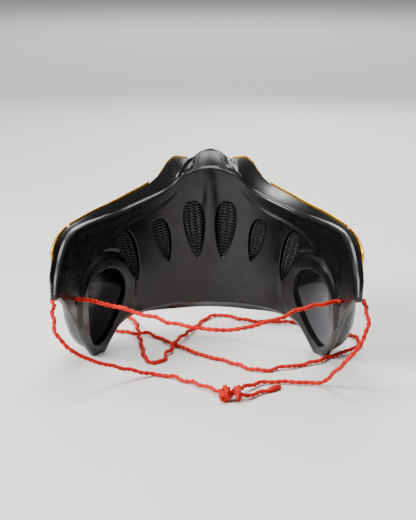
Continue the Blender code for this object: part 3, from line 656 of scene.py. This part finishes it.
def net_tree(material):
    """A flat net in the shape of a slot: x across it, y down it, z towards the wearer."""
    tree = bpy.data.node_groups.new("slot_net", "GeometryNodeTree")
    tree.interface.new_socket("Geometry", in_out="OUTPUT", socket_type="NodeSocketGeometry")
    for name in ("Length", "Half Width", "Pitch", "Wire", "Bow", "Sheet", "Groove"):
        tree.interface.new_socket(name, in_out="INPUT", socket_type="NodeSocketFloat")
    given = node(tree, "NodeGroupInput").outputs

    # The slot's leaf shape: the share of its half width at each place down it.
    place = node(tree, "GeometryNodeInputPosition")
    spot = node(tree, "ShaderNodeSeparateXYZ", {0: place}).outputs
    leaf = node(tree, "ShaderNodeMath", {0: spot["Y"], 1: given["Length"]}, operation="DIVIDE")
    for operation, value in (
        ("MAXIMUM", 0.0),
        ("POWER", SLOT_BELLY),
        ("MULTIPLY", math.pi),
        ("SINE", 0.0),
        ("MAXIMUM", 0.0),
        ("POWER", SLOT_BELLY),
    ):
        leaf = node(tree, "ShaderNodeMath", {0: leaf, 1: value}, operation=operation)

    # One rung: a wire, one unit long, bowed up in three bays.
    flat = {"Start": (-0.5, 0.0, 0.0), "End": (0.5, 0.0, 0.0)}
    flat = node(tree, "GeometryNodeCurvePrimitiveLine", flat)
    fine = node(tree, "GeometryNodeResampleCurve", {"Curve": flat, "Count": 25})
    bow = spot["X"]
    for operation, value in (
        ("ADD", 0.5),
        ("MULTIPLY", NET_BAYS * math.pi),
        ("SINE", 0.0),
        ("ABSOLUTE", 0.0),
        ("MULTIPLY", given["Bow"]),
    ):
        bow = node(tree, "ShaderNodeMath", {0: bow, 1: value}, operation=operation)
    lift = node(tree, "ShaderNodeCombineXYZ", {"Z": bow})
    bowed = node(tree, "GeometryNodeSetPosition", {"Geometry": fine, "Offset": lift})
    ring = node(tree, "GeometryNodeCurvePrimitiveCircle", {"Resolution": 6, "Radius": given["Wire"]})
    rung = {"Curve": bowed, "Profile Curve": ring, "Fill Caps": True}
    rung = node(tree, "GeometryNodeCurveToMesh", rung)

    # The rungs: one at each pitch down the slot but for its tips, as wide as the slot is there.
    count = node(tree, "ShaderNodeMath", {0: given["Length"], 1: NET_FILL}, operation="MULTIPLY")
    count = node(tree, "ShaderNodeMath", {0: count, 1: given["Pitch"]}, operation="DIVIDE")
    first = node(tree, "ShaderNodeMath", {0: given["Pitch"], 1: NET_START}, operation="MULTIPLY")
    start = node(tree, "ShaderNodeCombineXYZ", {"Y": first})
    stride = node(tree, "ShaderNodeCombineXYZ", {"Y": given["Pitch"]})
    points = {"Count": count, "Start Location": start, "Offset": stride}
    points = node(tree, "GeometryNodeMeshLine", points)
    width = leaf
    for operation, value in (
        ("MULTIPLY", given["Half Width"]),
        ("SUBTRACT", given["Wire"]),
        ("MAXIMUM", 0.0),
        ("MULTIPLY", 2.0),
    ):
        width = node(tree, "ShaderNodeMath", {0: width, 1: value}, operation=operation)
    scale = node(tree, "ShaderNodeCombineXYZ", {"X": width, "Y": 1.0, "Z": 1.0})
    rungs = {"Points": points, "Instance": rung, "Scale": scale}
    rungs = node(tree, "GeometryNodeInstanceOnPoints", rungs)

    # The closed black sheet behind them, painted shade that keeps the gaps dark, wider than the slot by
    # a groove's width on each side.
    grid = {"Size X": 2.0, "Size Y": given["Length"], "Vertices X": 9, "Vertices Y": 60}
    grid = node(tree, "GeometryNodeMeshGrid", grid)
    middle = node(tree, "ShaderNodeMath", {0: given["Length"], 1: 0.5}, operation="MULTIPLY")
    down = node(tree, "ShaderNodeCombineXYZ", {"Y": middle})
    laid = node(tree, "GeometryNodeSetPosition", {"Geometry": grid, "Offset": down})
    half = {0: leaf, 1: given["Half Width"], 2: given["Groove"]}
    half = node(tree, "ShaderNodeMath", half, operation="MULTIPLY_ADD")
    across = node(tree, "ShaderNodeMath", {0: spot["X"], 1: half}, operation="MULTIPLY")
    spread = node(tree, "ShaderNodeCombineXYZ", {"X": across, "Y": spot["Y"]})
    sheet = node(tree, "GeometryNodeSetPosition", {"Geometry": laid, "Position": spread})
    raised = {"Mesh": sheet, "Offset": (0.0, 0.0, 1.0), "Offset Scale": given["Sheet"]}
    raised = node(tree, "GeometryNodeExtrudeMesh", {**raised, "Individual": False})
    under = node(tree, "GeometryNodeFlipFaces", {"Mesh": sheet})
    slab = node(tree, "GeometryNodeJoinGeometry", {0: [raised, under]})
    closed = node(tree, "GeometryNodeMergeByDistance", {"Geometry": slab, "Distance": 1e-6})

    whole = node(tree, "GeometryNodeJoinGeometry", {0: [rungs, closed]})
    real = node(tree, "GeometryNodeRealizeInstances", {"Geometry": whole})
    soft = node(tree, "GeometryNodeSetShadeSmooth", {"Geometry": real})
    painted = node(tree, "GeometryNodeSetMaterial", {"Geometry": soft, "Material": material})
    node(tree, "NodeGroupOutput", {0: painted})
    return tree


net_black = black_plastic("net_black_abs", 0.20, 0.10)
slot_net = net_tree(net_black)
for side, label in ((-1, "left"), (1, "right")):
    for number, slot in enumerate(SLOTS, start=1):
        length = slot_length(slot)
        net = add_object(f"net_{label}_{number}", bpy.data.meshes.new("net"))
        weave = net.modifiers.new("net", "NODES")
        weave.node_group = slot_net
        sizes = {
            "Length": length,
            "Half Width": length * slot.half_width,
            "Pitch": NET_PITCH,
            "Wire": NET_WIRE,
            "Bow": NET_BOW,
            "Sheet": NET_SHEET,
            "Groove": NET_GROOVE,
        }
        for socket in slot_net.interface.items_tree:
            if socket.in_out == "INPUT":
                weave[socket.identifier] = sizes[socket.name]
        plain_mesh(net)
        for vertex in net.data.vertices:
            across, down, lift = vertex.co
            vertex.co = slot_place(
                slot, side, down / length, across, lambda a, z: WALL * NET_DEPTH - lift
            )
        if side > 0:
            net.data.flip_normals()
        fit(net, "black_net", f"vent_grille_{label}_{number}")

# The jaw pods. A blind cup of the same black plastic is glued over each teardrop opening from the
# outside. Its face has three shallow rings. Inside it shows the flow lines of the moulding. Its lower
# ramp has painted light, a lighter grey standing in for light falling there, the right one's most, and
# it is rougher there.
POD_WALL = 0.0018
POD_DEPTH = 0.0185
POD_LAP = 0.0032
POD_EDGE = 0.0012
POD_SEAT = 0.0003

# The dome, from its edge (core 0) to its middle (core 1), with its rise as a share of the depth.
Dome = namedtuple("Dome", "core rise")
POD_DOME = (
    Dome(0.00, 0.00),
    Dome(0.04, 0.30),
    Dome(0.13, 0.56),
    Dome(0.26, 0.77),
    Dome(0.44, 0.92),
    Dome(0.68, 0.99),
    Dome(1.00, 1.00),
)
POD_RINGS = (0.20, 0.42, 0.64)
POD_RING_REACH = 0.035
POD_RING_DEPTH = 0.0006
CUP_RINGS = 30
FLUTE_SPAN = (0.42, 0.40)
FLUTE_DEPTH = 0.0005
RAMP_TOP = 0.27
RAMP_SLOPE = 0.4
RAMP_SOFT = 0.002


def pod_seat(along, z):
    return outer(along, z) + POD_SEAT


def flow_lines(points, core, side):
    """Shallow flutes inside the cup, deepest about half way in."""
    depth = FLUTE_DEPTH * bump(core, *FLUTE_SPAN)
    moved = []
    for k, point in enumerate(points):
        wave = math.sin(k * 2.1) + 0.6 * math.sin(k * 0.83 + 1.0)
        inward = Vector((-side, -0.3, 0.2)).normalized()
        moved.append(point + inward * depth * wave)
    return moved


def cup(name, side):
    rings = []
    cores = [1 - (1 - k / CUP_RINGS) ** 1.6 for k in range(CUP_RINGS)]
    deep = POD_DEPTH - POD_WALL
    for core in reversed(cores):
        rise = read(POD_DOME, "rise", core)
        ring = tear_outline(side, 0.0, 1 - core, lambda a, z: pod_seat(a, z) + deep * rise)
        rings.append(flow_lines(ring, core, side))
    rings.append(tear_outline(side, POD_LAP * 0.9, 1.0, pod_seat))
    rings.append(tear_outline(side, POD_LAP, 1.0, lambda a, z: pod_seat(a, z) + POD_SEAT))
    for core in cores:
        rise = read(POD_DOME, "rise", core)
        groove = sum(bump(core, ring, POD_RING_REACH) for ring in POD_RINGS) * POD_RING_DEPTH
        lift = POD_EDGE + (POD_DEPTH - POD_EDGE) * rise - groove
        rings.append(tear_outline(side, POD_LAP, 1 - core, lambda a, z: pod_seat(a, z) + lift))
    return loft(name, rings)


def paint_ramp_light(pod, side, light_share):
    """Paints light on the lower ramp inside a cup, up to a line that falls towards the rear."""
    marks = []
    for index, vertex in enumerate(pod.data.vertices):
        behind = on_wall(side * TEAR_ALONG * HALF_RUN, vertex.co.z, 0.0).y - vertex.co.y
        line = RAMP_TOP * MASK_HEIGHT - RAMP_SLOPE * behind
        inside = index < CUP_RINGS * TEAR_SEGMENTS
        marks.append(light_share * smooth((line - vertex.co.z) / RAMP_SOFT + 0.5) if inside else 0.0)
    scuffed = pod.data.attributes.new("scuffed", "FLOAT", "POINT")
    scuffed.data.foreach_set("value", marks)


# The right ramp gets the most painted light, the left one a little.
for side, label, light_share in ((-1, "left", 0.3), (1, "right", 1.0)):
    pod = cup(f"cup_{label}", side)
    paint_ramp_light(pod, side, light_share)
    pod.data.materials.append(satin_black)
    fit(pod, "black_plastic", f"jaw_pod_{label}")

# The plates. Six thin shaped plates lie on the outside along the upper edge and stand a little above
# it, so that only their gold edges show from behind. They are plastic under gold lacquer, with a dark
# line engraved round each.
PLATE_THICKNESS = 0.0014
PLATE_PROUD = 0.0012
PLATE_SEAT = 0.0003
PLATE_STATIONS = 72
PLATE_ROWS = 22
PLATE_BORDER = 0.0010
PLATE_RIM = 0.45
PLATE_LINE = (0.0024, 0.0006)
PLATE_LINE_DEPTH = 0.00035

# Each plate's outline: its top and bottom edge below the shell's crest, in shares of MASK_HEIGHT.
Plate = namedtuple("Plate", "along top bottom")
NOSE_WING = (
    Plate(0.082, -0.004, 0.020),
    Plate(0.105, -0.004, 0.062),
    Plate(0.150, -0.004, 0.098),
    Plate(0.185, 0.002, 0.060),
    Plate(0.200, 0.010, 0.024),
)
CHEEK_PLATE = (
    Plate(0.236, -0.004, 0.026),
    Plate(0.300, -0.004, 0.084),
    Plate(0.400, -0.004, 0.096),
    Plate(0.480, -0.004, 0.150),
    Plate(0.550, -0.004, 0.205),
    Plate(0.610, -0.004, 0.200),
    Plate(0.655, -0.004, 0.110),
    Plate(0.690, -0.004, 0.028),
)
EAR_PLATE = (
    Plate(0.712, -0.004, 0.050),
    Plate(0.760, -0.004, 0.150),
    Plate(0.815, -0.004, 0.180),
    Plate(0.865, -0.004, 0.150),
    Plate(0.890, -0.004, 0.110),
)


def gold_lacquer():
    """Gold lacquer on plastic: a bright warm metal, softly mottled, worn to black in small chips.

    The mottling is about 2.4 mm across and the chips 1.3 mm."""
    material, tree = new_finish("gold_lacquer")
    place = node(tree, "ShaderNodeTexCoord").outputs["Object"]
    mottle = node(tree, "ShaderNodeTexNoise", {"Vector": place, "Scale": 420.0, "Detail": 4.0})
    chips = node(tree, "ShaderNodeTexNoise", {"Vector": place, "Scale": 750.0, "Detail": 4.0})
    line = node(tree, "ShaderNodeAttribute", attribute_name="engraved").outputs["Fac"]
    thick = node(tree, "ShaderNodeMapRange", {"Value": mottle, "From Min": 0.25, "From Max": 0.75})
    gold = {"Factor": thick, "A": shade("#c98c0a"), "B": shade("#e9ab18")}
    gold = node(tree, "ShaderNodeMix", gold, data_type="RGBA")
    worn = node(tree, "ShaderNodeMapRange", {"Value": chips, "From Min": 0.76, "From Max": 0.79})
    bare = node(tree, "ShaderNodeMath", {0: worn, 1: line}, operation="MAXIMUM", use_clamp=True)
    colour = {"Factor": bare, "A": gold, "B": shade("#1a140c")}
    colour = node(tree, "ShaderNodeMix", colour, data_type="RGBA")
    metal = node(tree, "ShaderNodeMath", {0: 0.75, 1: bare}, operation="SUBTRACT", use_clamp=True)
    rough = node(tree, "ShaderNodeMapRange", {"Value": mottle, "To Min": 0.22, "To Max": 0.34})
    relief = node(tree, "ShaderNodeBump", {"Height": mottle, "Distance": 0.0001, "Strength": 0.2})
    finish = {"Base Color": colour, "Metallic": metal, "Roughness": rough, "Normal": relief}
    shader = node(tree, "ShaderNodeBsdfPrincipled", finish)
    node(tree, "ShaderNodeOutputMaterial", {"Surface": shader})
    return material


def plate_piece(name, table, side):
    """A plate as a fine grid with a rounded border and an engraved line inside it."""
    first, last = table[0].along, table[-1].along
    loops, marks = [], []
    for k in range(PLATE_STATIONS + 1):
        share = first + (last - first) * (1 - math.cos(math.pi * k / PLATE_STATIONS)) / 2
        along = side * share * HALF_RUN
        crest = edge("crest", along)
        top = crest - read(table, "top", share) * MASK_HEIGHT
        bottom = crest - read(table, "bottom", share) * MASK_HEIGHT
        top_z = top + PLATE_PROUD * 0.4
        end = min(share - first, last - share) * HALF_RUN
        inside, outside, marked = [], [], []
        for row in range(PLATE_ROWS + 1):
            z = bottom + (top_z - bottom) * (1 - math.cos(math.pi * row / PLATE_ROWS)) / 2
            seat = outer(along, min(z, crest)) + PLATE_SEAT
            rim = min(z - bottom, top_z - z, end)
            border = smooth(rim / PLATE_BORDER + 0.12)
            line = bump(rim, *PLATE_LINE)
            thick = PLATE_THICKNESS * (PLATE_RIM + (1 - PLATE_RIM) * border)
            thick -= PLATE_LINE_DEPTH * line
            inside.append(on_wall(along, z, seat))
            outside.append(on_wall(along, z, seat + thick))
            marked.append(line)
        loops.append(inside + outside[::-1])
        marks += [0.0] * len(inside) + marked[::-1]
    plate = loft(name, loops)
    engraved = plate.data.attributes.new("engraved", "FLOAT", "POINT")
    engraved.data.foreach_set("value", marks)
    return plate


lacquer = gold_lacquer()
PLATES = (("nose_wing", NOSE_WING), ("cheek_plate", CHEEK_PLATE), ("ear_plate", EAR_PLATE))
for side, label in ((-1, "left"), (1, "right")):
    for kind, table in PLATES:
        plate = plate_piece(f"{kind}_gilt_{label}", table, side)
        plate.data.materials.append(lacquer)
        fit(plate, "gold_paint", f"{kind}_{label}")

# The twine. Two plies of dyed red fibre, 2.4 mm thick and limp, with the small kinks of cord that has
# been folded. One length ties through both holes and is knotted behind, and a closed loop of it lies
# on the floor under the chin and round the right lobe.
PLY_RADIUS = 0.00086
PLY_OFFSET = 0.00043
TWIST = 0.0078
PLY_SIDES = 10
TWINE_STEP = 0.00048
KINK = 0.00095
KINK_STEPS = 14
KINK_SIDES = (0.35, 1.0)
KINK_LIFTS = (-0.5, 1.0)
LOWEST = PLY_OFFSET + PLY_RADIUS + 0.00004
CURVE_STEPS = 16
HOLE_LEAD = 0.0022
SEAT_GAP = 0.0003

# Where each length of twine runs, in millimetres. The loop is cut in two at its point LOOP_JOIN.
CORD_INSIDE = (
    (-61.5, -28.0, 46.4), (-49.0, -34.5, 45.3), (-36.0, -41.0, 43.6), (-24.0, -46.5, 41.8),
    (-12.0, -51.0, 39.8), (0.0, -53.4, 38.8), (12.0, -53.4, 39.0), (24.0, -51.0, 40.2),
    (37.0, -45.5, 42.2), (50.0, -36.5, 44.2), (61.0, -28.5, 44.8),
)
CORD_LEFT = (
    (-83.6, -24.0, 46.6), (-84.4, -32.0, 48.0), (-82.8, -42.0, 47.6), (-81.8, -50.5, 43.6),
    (-79.0, -56.6, 37.0), (-72.8, -57.0, 29.5), (-64.8, -49.0, 21.0), (-54.6, -38.5, 13.0),
    (-45.2, -28.6, 7.0), (-37.0, -22.8, 3.0), (-29.0, -20.8, 1.5), (-20.6, -23.2, 1.3),
    (-12.0, -30.0, 1.3), (-3.6, -38.0, 1.5), (4.6, -46.8, 2.6),
)
CORD_RIGHT = (
    (84.0, -24.0, 46.8), (85.6, -32.0, 48.6), (85.4, -41.0, 48.4), (85.8, -49.0, 45.6),
    (85.0, -55.4, 39.8), (80.6, -56.2, 30.6), (74.4, -51.0, 20.8), (69.6, -43.5, 11.8),
    (65.6, -37.2, 4.8), (59.0, -33.4, 1.5), (50.0, -32.0, 1.3), (39.0, -31.4, 1.3),
    (29.4, -34.0, 1.5), (22.0, -42.0, 2.8),
)
CORD_TAIL = ((22.6, -53.6, 2.0), (31.4, -45.4, 1.3), (40.0, -39.4, 1.3))
LOOP_ROUTE = (
    (53.0, -3.6, 1.3), (64.3, 3.2, 1.3), (71.5, 11.6, 1.3), (79.8, 19.2, 1.3), (89.0, 28.0, 1.3),
    (91.0, 40.0, 1.3), (88.0, 51.0, 1.3), (79.0, 64.0, 1.3), (66.0, 73.0, 1.3),
    (52.0, 77.0, 1.3), (38.0, 77.6, 1.3), (25.0, 79.4, 1.3), (15.0, 87.0, 1.3), (6.0, 91.6, 1.3),
    (-2.6, 85.0, 1.3), (-8.0, 70.0, 1.3), (-12.6, 54.0, 2.4), (-19.0, 33.5, 4.1),
    (-24.0, 15.0, 2.2), (-26.4, 4.4, 1.3), (-30.8, -0.6, 1.3), (-35.6, 4.0, 1.3),
    (-38.4, 15.0, 1.3), (-41.6, 34.0, 2.6), (-44.6, 52.0, 4.1), (-48.0, 71.0, 2.6),
    (-54.0, 87.0, 1.4), (-63.5, 93.0, 1.3), (-73.0, 87.0, 1.3), (-76.0, 76.0, 1.3),
    (-69.0, 64.0, 1.3), (-58.0, 57.4, 1.3), (-47.0, 53.2, 1.3), (-38.0, 51.4, 1.3),
    (-30.0, 43.0, 1.3), (-21.0, 31.6, 1.3), (-5.0, 14.0, 1.3), (11.0, 3.0, 1.3),
    (20.0, -6.4, 1.3), (29.0, -12.6, 1.3), (40.0, -9.6, 1.3),
)
LOOP_JOIN = 31
KNOT_MIDDLE = Vector((0.0140, -0.0565, 0.0046))
KNOT_RADII = (0.0068, 0.0054, 0.0044)


def route_points(route):
    return [Vector(point) / 1000 for point in route]


def smooth_path(points, step, lead_in=None, lead_out=None):
    """Points at an even step on a smooth curve through the route's own points."""
    ends = [lead_in or points[0] * 2 - points[1]] + list(points)
    ends.append(lead_out or points[-1] * 2 - points[-2])
    fine = []
    for before, a, b, after in zip(ends, ends[1:], ends[2:], ends[3:]):
        for k in range(CURVE_STEPS):
            t = k / CURVE_STEPS
            bend = (2 * before - 5 * a + 4 * b - after) * t + (3 * a - before - 3 * b + after) * t**2
            fine.append(a + ((b - before) + bend) * t / 2)
    fine.append(points[-1])
    runs = [0.0]
    for a, b in zip(fine, fine[1:]):
        runs.append(runs[-1] + (b - a).length)
    count = round(runs[-1] / step)
    path = []
    for k in range(count + 1):
        run = runs[-1] * k / count
        i = min(max(bisect(runs, run) - 1, 0), len(runs) - 2)
        path.append(fine[i].lerp(fine[i + 1], (run - runs[i]) / (runs[i + 1] - runs[i])))
    return path


def knot_share(point):
    away = point - KNOT_MIDDLE
    return math.sqrt(sum((a / (r + SEAT_GAP)) ** 2 for a, r in zip(away, KNOT_RADII)))


def kinked(path, seed):
    """The same path with a small sideways kink every few millimetres, none of it under the floor."""
    chance = random.Random(seed)
    count = len(path) // KINK_STEPS + 2
    sides = [chance.uniform(*KINK_SIDES) * (1 if k % 2 else -1) for k in range(count)]
    lifts = [chance.uniform(*KINK_LIFTS) for k in range(count)]
    moved = []
    for k, point in enumerate(path):
        ahead = path[min(k + 1, len(path) - 1)] - path[max(k - 1, 0)]
        flat = Vector((-ahead.y, ahead.x, 0.0))
        i, t = k // KINK_STEPS, (k % KINK_STEPS) / KINK_STEPS
        fade = min(k, len(path) - 1 - k, KINK_STEPS) / KINK_STEPS
        across = (sides[i] * (1 - t) + sides[i + 1] * t) * KINK * fade
        lift = (lifts[i] * (1 - t) + lifts[i + 1] * t) * KINK * fade
        place = point + flat.normalized() * across + Vector((0.0, 0.0, lift))
        place.z = max(place.z, LOWEST)
        moved.append(place)
    return moved


def twine_parts(path, verts, faces, uvs, tight=1.0, start_turn=0.0):
    """Adds the two plies of a length of twine, with u round a ply and v in mm along it."""
    side = Vector((0.0, 0.0, 1.0))
    sides, run, runs = [], 0.0, []
    for k, point in enumerate(path):
        ahead = (path[min(k + 1, len(path) - 1)] - path[max(k - 1, 0)]).normalized()
        side = (side - ahead * side.dot(ahead)).normalized()
        sides.append((side.copy(), ahead.cross(side)))
        if k:
            run += (point - path[k - 1]).length
        runs.append(run)
    for ply in (0, 1):
        base = len(verts)
        for point, (a, b), run in zip(path, sides, runs):
            turn = start_turn + 2 * math.pi * run / TWIST + ply * math.pi
            out = a * math.cos(turn) + b * math.sin(turn)
            flat = b * math.cos(turn) - a * math.sin(turn)
            middle = point + out * PLY_OFFSET * tight
            for j in range(PLY_SIDES):
                around = 2 * math.pi * j / PLY_SIDES
                spoke = out * math.cos(around) + flat * math.sin(around)
                verts.append(middle + spoke * (PLY_RADIUS * tight))
        for i in range(len(path) - 1):
            for j in range(PLY_SIDES):
                k = (j + 1) % PLY_SIDES
                a, b = base + i * PLY_SIDES, base + (i + 1) * PLY_SIDES
                faces.append((a + j, a + k, b + k, b + j))
                u, v = j / PLY_SIDES, (j + 1) / PLY_SIDES
                low, high = runs[i] * 1000, runs[i + 1] * 1000
                uvs.append(((u, low), (v, low), (v, high), (u, high)))
        for end, order in ((base, 1), (base + (len(path) - 1) * PLY_SIDES, -1)):
            faces.append(tuple(end + j for j in range(PLY_SIDES))[::order])
            uvs.append(((0.0, 0.0),) * PLY_SIDES)


def twine_piece(name, *paths, frayed=0):
    """Lengths of twine as one mesh. The first steps of a frayed one are thick with loose fibre."""
    verts, faces, uvs = [], [], []
    for path in paths:
        twine_parts(path, verts, faces, uvs)
    if frayed:
        lifted = [point + FRAY_LIFT for point in paths[-1][:frayed]]
        twine_parts(lifted, verts, faces, uvs, tight=FRAY_SIZE, start_turn=math.pi / 2)
    mesh = bpy.data.meshes.new(name)
    mesh.from_pydata([tuple(v) for v in verts], [], faces)
    lay = mesh.uv_layers.new(name="ply")
    lay.data.foreach_set("uv", [c for face in uvs for corner in face for c in corner])
    outward(mesh, split=False)
    mesh.materials.append(red_twine)
    return add_object(name, mesh)


def dyed_twine():
    """Dyed red fibre twisted into plies: matt, a little fuzzy, with fibres lying along the twist.

    Seven fibre bundles show round each ply, with stray fibres about 1 mm long. Their colour is painted
    darker down between them as painted shade and lighter on their crests as painted highlight."""
    material, tree = new_finish("dyed_red_twine")
    lay = node(tree, "ShaderNodeUVMap", uv_map="ply")
    spot = node(tree, "ShaderNodeSeparateXYZ", {0: lay}).outputs
    place = node(tree, "ShaderNodeTexCoord").outputs["Object"]
    stray = node(tree, "ShaderNodeTexNoise", {"Vector": place, "Scale": 900.0, "Detail": 3.0})
    turn = node(tree, "ShaderNodeMath", {0: spot["X"], 1: 7.0}, operation="MULTIPLY")
    turn = node(tree, "ShaderNodeMath", {0: spot["Y"], 1: 0.9, 2: turn}, operation="MULTIPLY_ADD")
    turn = node(tree, "ShaderNodeMath", {0: stray, 1: 0.9, 2: turn}, operation="MULTIPLY_ADD")
    angle = node(tree, "ShaderNodeMath", {0: turn, 1: 2 * math.pi}, operation="MULTIPLY")
    fibre = node(tree, "ShaderNodeMath", {0: angle}, operation="SINE")
    ribs = node(tree, "ShaderNodeMath", {0: fibre, 1: 0.5}, operation="MULTIPLY")
    height = node(tree, "ShaderNodeMath", {0: stray, 1: 0.8, 2: ribs}, operation="MULTIPLY_ADD")
    # Painted light: the colour follows the fibre height, darker in the hollows as painted shade and
    # lighter on the crests as painted highlight.
    high = node(tree, "ShaderNodeMapRange", {"Value": height, "From Min": 0.05, "From Max": 0.85})
    colour = {"Factor": high, "A": shade("#8c0402"), "B": shade("#f0200a")}
    colour = node(tree, "ShaderNodeMix", colour, data_type="RGBA")
    relief = node(tree, "ShaderNodeBump", {"Height": height, "Distance": 0.00016, "Strength": 0.8})
    finish = {
        "Base Color": colour,
        "Normal": relief,
        "Roughness": 0.72,
        "Specular IOR Level": 0.25,
        "Sheen Weight": 0.06,
        "Sheen Roughness": 0.4,
        "Sheen Tint": shade("#ff5a30"),
    }
    shader = node(tree, "ShaderNodeBsdfPrincipled", finish)
    node(tree, "ShaderNodeOutputMaterial", {"Surface": shader})
    return material


red_twine = dyed_twine()


def hole_leads(side):
    """Points of the tie cord straight through its hole, from the inside out."""
    outs = (-HOLE_LEAD, 0.0, WALL + HOLE_LEAD, WALL + 2 * HOLE_LEAD)
    return [on_wall(side * HOLE_ALONG * HALF_RUN, HOLE_Z * MASK_HEIGHT, out) for out in outs]


left_run = hole_leads(-1) + route_points(CORD_LEFT) + [KNOT_MIDDLE]
right_run = hole_leads(1) + route_points(CORD_RIGHT) + [KNOT_MIDDLE]
tie_path = smooth_path(left_run[::-1] + route_points(CORD_INSIDE) + right_run, TWINE_STEP)
tie_path = kinked([point for point in tie_path if knot_share(point) > 0.80], 5)
tail_path = kinked(smooth_path(route_points(CORD_TAIL[::-1]) + [KNOT_MIDDLE], TWINE_STEP), 8)
loop = route_points(LOOP_ROUTE)
front_path = kinked(smooth_path(loop[: LOOP_JOIN + 1], TWINE_STEP, loop[-1], loop[LOOP_JOIN + 1]), 13)
rear_path = kinked(
    smooth_path(loop[LOOP_JOIN:] + loop[:1], TWINE_STEP, loop[LOOP_JOIN - 1], loop[1]), 21
)

# The knot. The two ends of the tie cord, pulled tight: they wind round each other about four times,
# one is rolled into a ball beside the turns and the other sticks out. It is the same twine.
KNOT_TURNS = 3.6
KNOT_SPAN = 0.0098
KNOT_SWING = (0.0041, 0.0033)
KNOT_STEPS = 240
KNOT_CORE = 0.0095
CORE_STEPS = 20
BALL_MIDDLE = KNOT_MIDDLE + Vector((-0.0046, -0.0021, -0.0011))
BALL_RADIUS = 0.0019
BALL_TURNS = 2.6
BALL_STEPS = 120
FRAY_STEPS = 15
FRAY_SIZE = 1.35
FRAY_LIFT = Vector((0.0, 0.0, (FRAY_SIZE - 1.0) * (PLY_RADIUS + PLY_OFFSET)))
knot_path = []
for k in range(KNOT_STEPS + 1):
    t = k / KNOT_STEPS
    turn = 2 * math.pi * KNOT_TURNS * t
    swing = 0.80 + 0.20 * math.sin(turn * 0.37 + 1.0)
    x = (t - 0.5) * KNOT_SPAN + 0.0009 * math.sin(turn * 0.5)
    y = KNOT_SWING[0] * swing * math.cos(turn)
    z = KNOT_SWING[1] * swing * math.sin(turn)
    knot_path.append(KNOT_MIDDLE + Vector((x, y, z)))
ball_path = []
for k in range(BALL_STEPS + 1):
    t = k / BALL_STEPS
    around, down = 2 * math.pi * BALL_TURNS * t, math.pi * (0.12 + 0.76 * t)
    ring = math.sin(down)
    place = Vector((ring * math.cos(around), -math.cos(down), ring * math.sin(around)))
    ball_path.append(BALL_MIDDLE + place * BALL_RADIUS)
core_path = []
for k in range(CORE_STEPS + 1):
    core_path.append(KNOT_MIDDLE + Vector(((k / CORE_STEPS - 0.5) * KNOT_CORE, 0.0006, 0.0)))
knot = twine_piece("knot_twine", knot_path, ball_path, core_path)
tie = twine_piece("tie_twine", tie_path)
tail = twine_piece("tail_twine", tail_path, frayed=FRAY_STEPS)
loop_front = twine_piece("loop_twine_front", front_path)
loop_rear = twine_piece("loop_twine_rear", rear_path)
for piece, solid in (
    (knot, "knot"),
    (tie, "tie_cord"),
    (tail, "tie_cord_tail"),
    (loop_front, "loop_front"),
    (loop_rear, "loop_rear"),
):
    fit(piece, "red_twine", solid)

# The floor, the light and the camera. A plain pale floor lies under a large soft lamp, with a smaller
# one at the left, a weak one in front of the mask and a wide one over the far floor. The camera stands
# behind the mask and looks down 15 degrees through an 85 mm lens, as in the photograph.
FLOOR_HALF = 8.0
LENS = 85.0
CAMERA_PLACE = (0.0139, -0.672, 0.243)
CAMERA_TILT = math.radians(75.0)
CAMERA_TURN = math.radians(1.2)
corners = [(x * FLOOR_HALF, y * FLOOR_HALF, 0.0) for x, y in ((-1, -1), (1, -1), (1, 1), (-1, 1))]
floor_mesh = bpy.data.meshes.new("floor")
floor_mesh.from_pydata(corners, [], [(0, 1, 2, 3)])
floor = add_object("floor", floor_mesh)
paper, paper_tree = new_finish("pale_paper")
matt = {"Base Color": shade("#dddbd7"), "Roughness": 0.75}
matt = node(paper_tree, "ShaderNodeBsdfPrincipled", matt)
node(paper_tree, "ShaderNodeOutputMaterial", {"Surface": matt})
floor_mesh.materials.append(paper)

world = bpy.data.worlds.new("studio")
world.use_nodes = True
world.node_tree.nodes["Background"].inputs["Color"].default_value = shade("#f0f0f0")
world.node_tree.nodes["Background"].inputs["Strength"].default_value = 0.40
bpy.context.scene.world = world

Lamp = namedtuple("Lamp", "name place aim size power")
LAMPS = (
    Lamp("top_soft", (0.00, 0.10, 0.95), (0.0, 0.0, 0.05), 0.60, 11.0),
    Lamp("left_soft", (-0.62, -0.40, 0.60), (0.05, 0.0, 0.05), 0.35, 15.0),
    Lamp("back_soft", (0.12, 0.95, 0.52), (0.0, 0.0, 0.06), 0.70, 5.0),
    Lamp("far_soft", (0.00, 2.30, 1.25), (0.0, 1.6, 0.0), 1.60, 24.0),
)
for lamp in LAMPS:
    light = bpy.data.lights.new(lamp.name, "AREA")
    light.shape = "DISK"
    light.size = lamp.size
    light.energy = lamp.power
    holder = add_object(lamp.name, light)
    holder.location = lamp.place
    aim = Vector(lamp.aim) - Vector(lamp.place)
    holder.rotation_euler = aim.to_track_quat("-Z", "Y").to_euler()

lens = bpy.data.cameras.new("camera")
lens.lens = LENS
lens.sensor_fit = "VERTICAL"
lens.sensor_height = 36.0
camera = add_object("camera", lens)
camera.location = CAMERA_PLACE
camera.rotation_euler = (CAMERA_TILT, 0.0, CAMERA_TURN)
bpy.context.scene.camera = camera

bpy.context.view_layer.update()
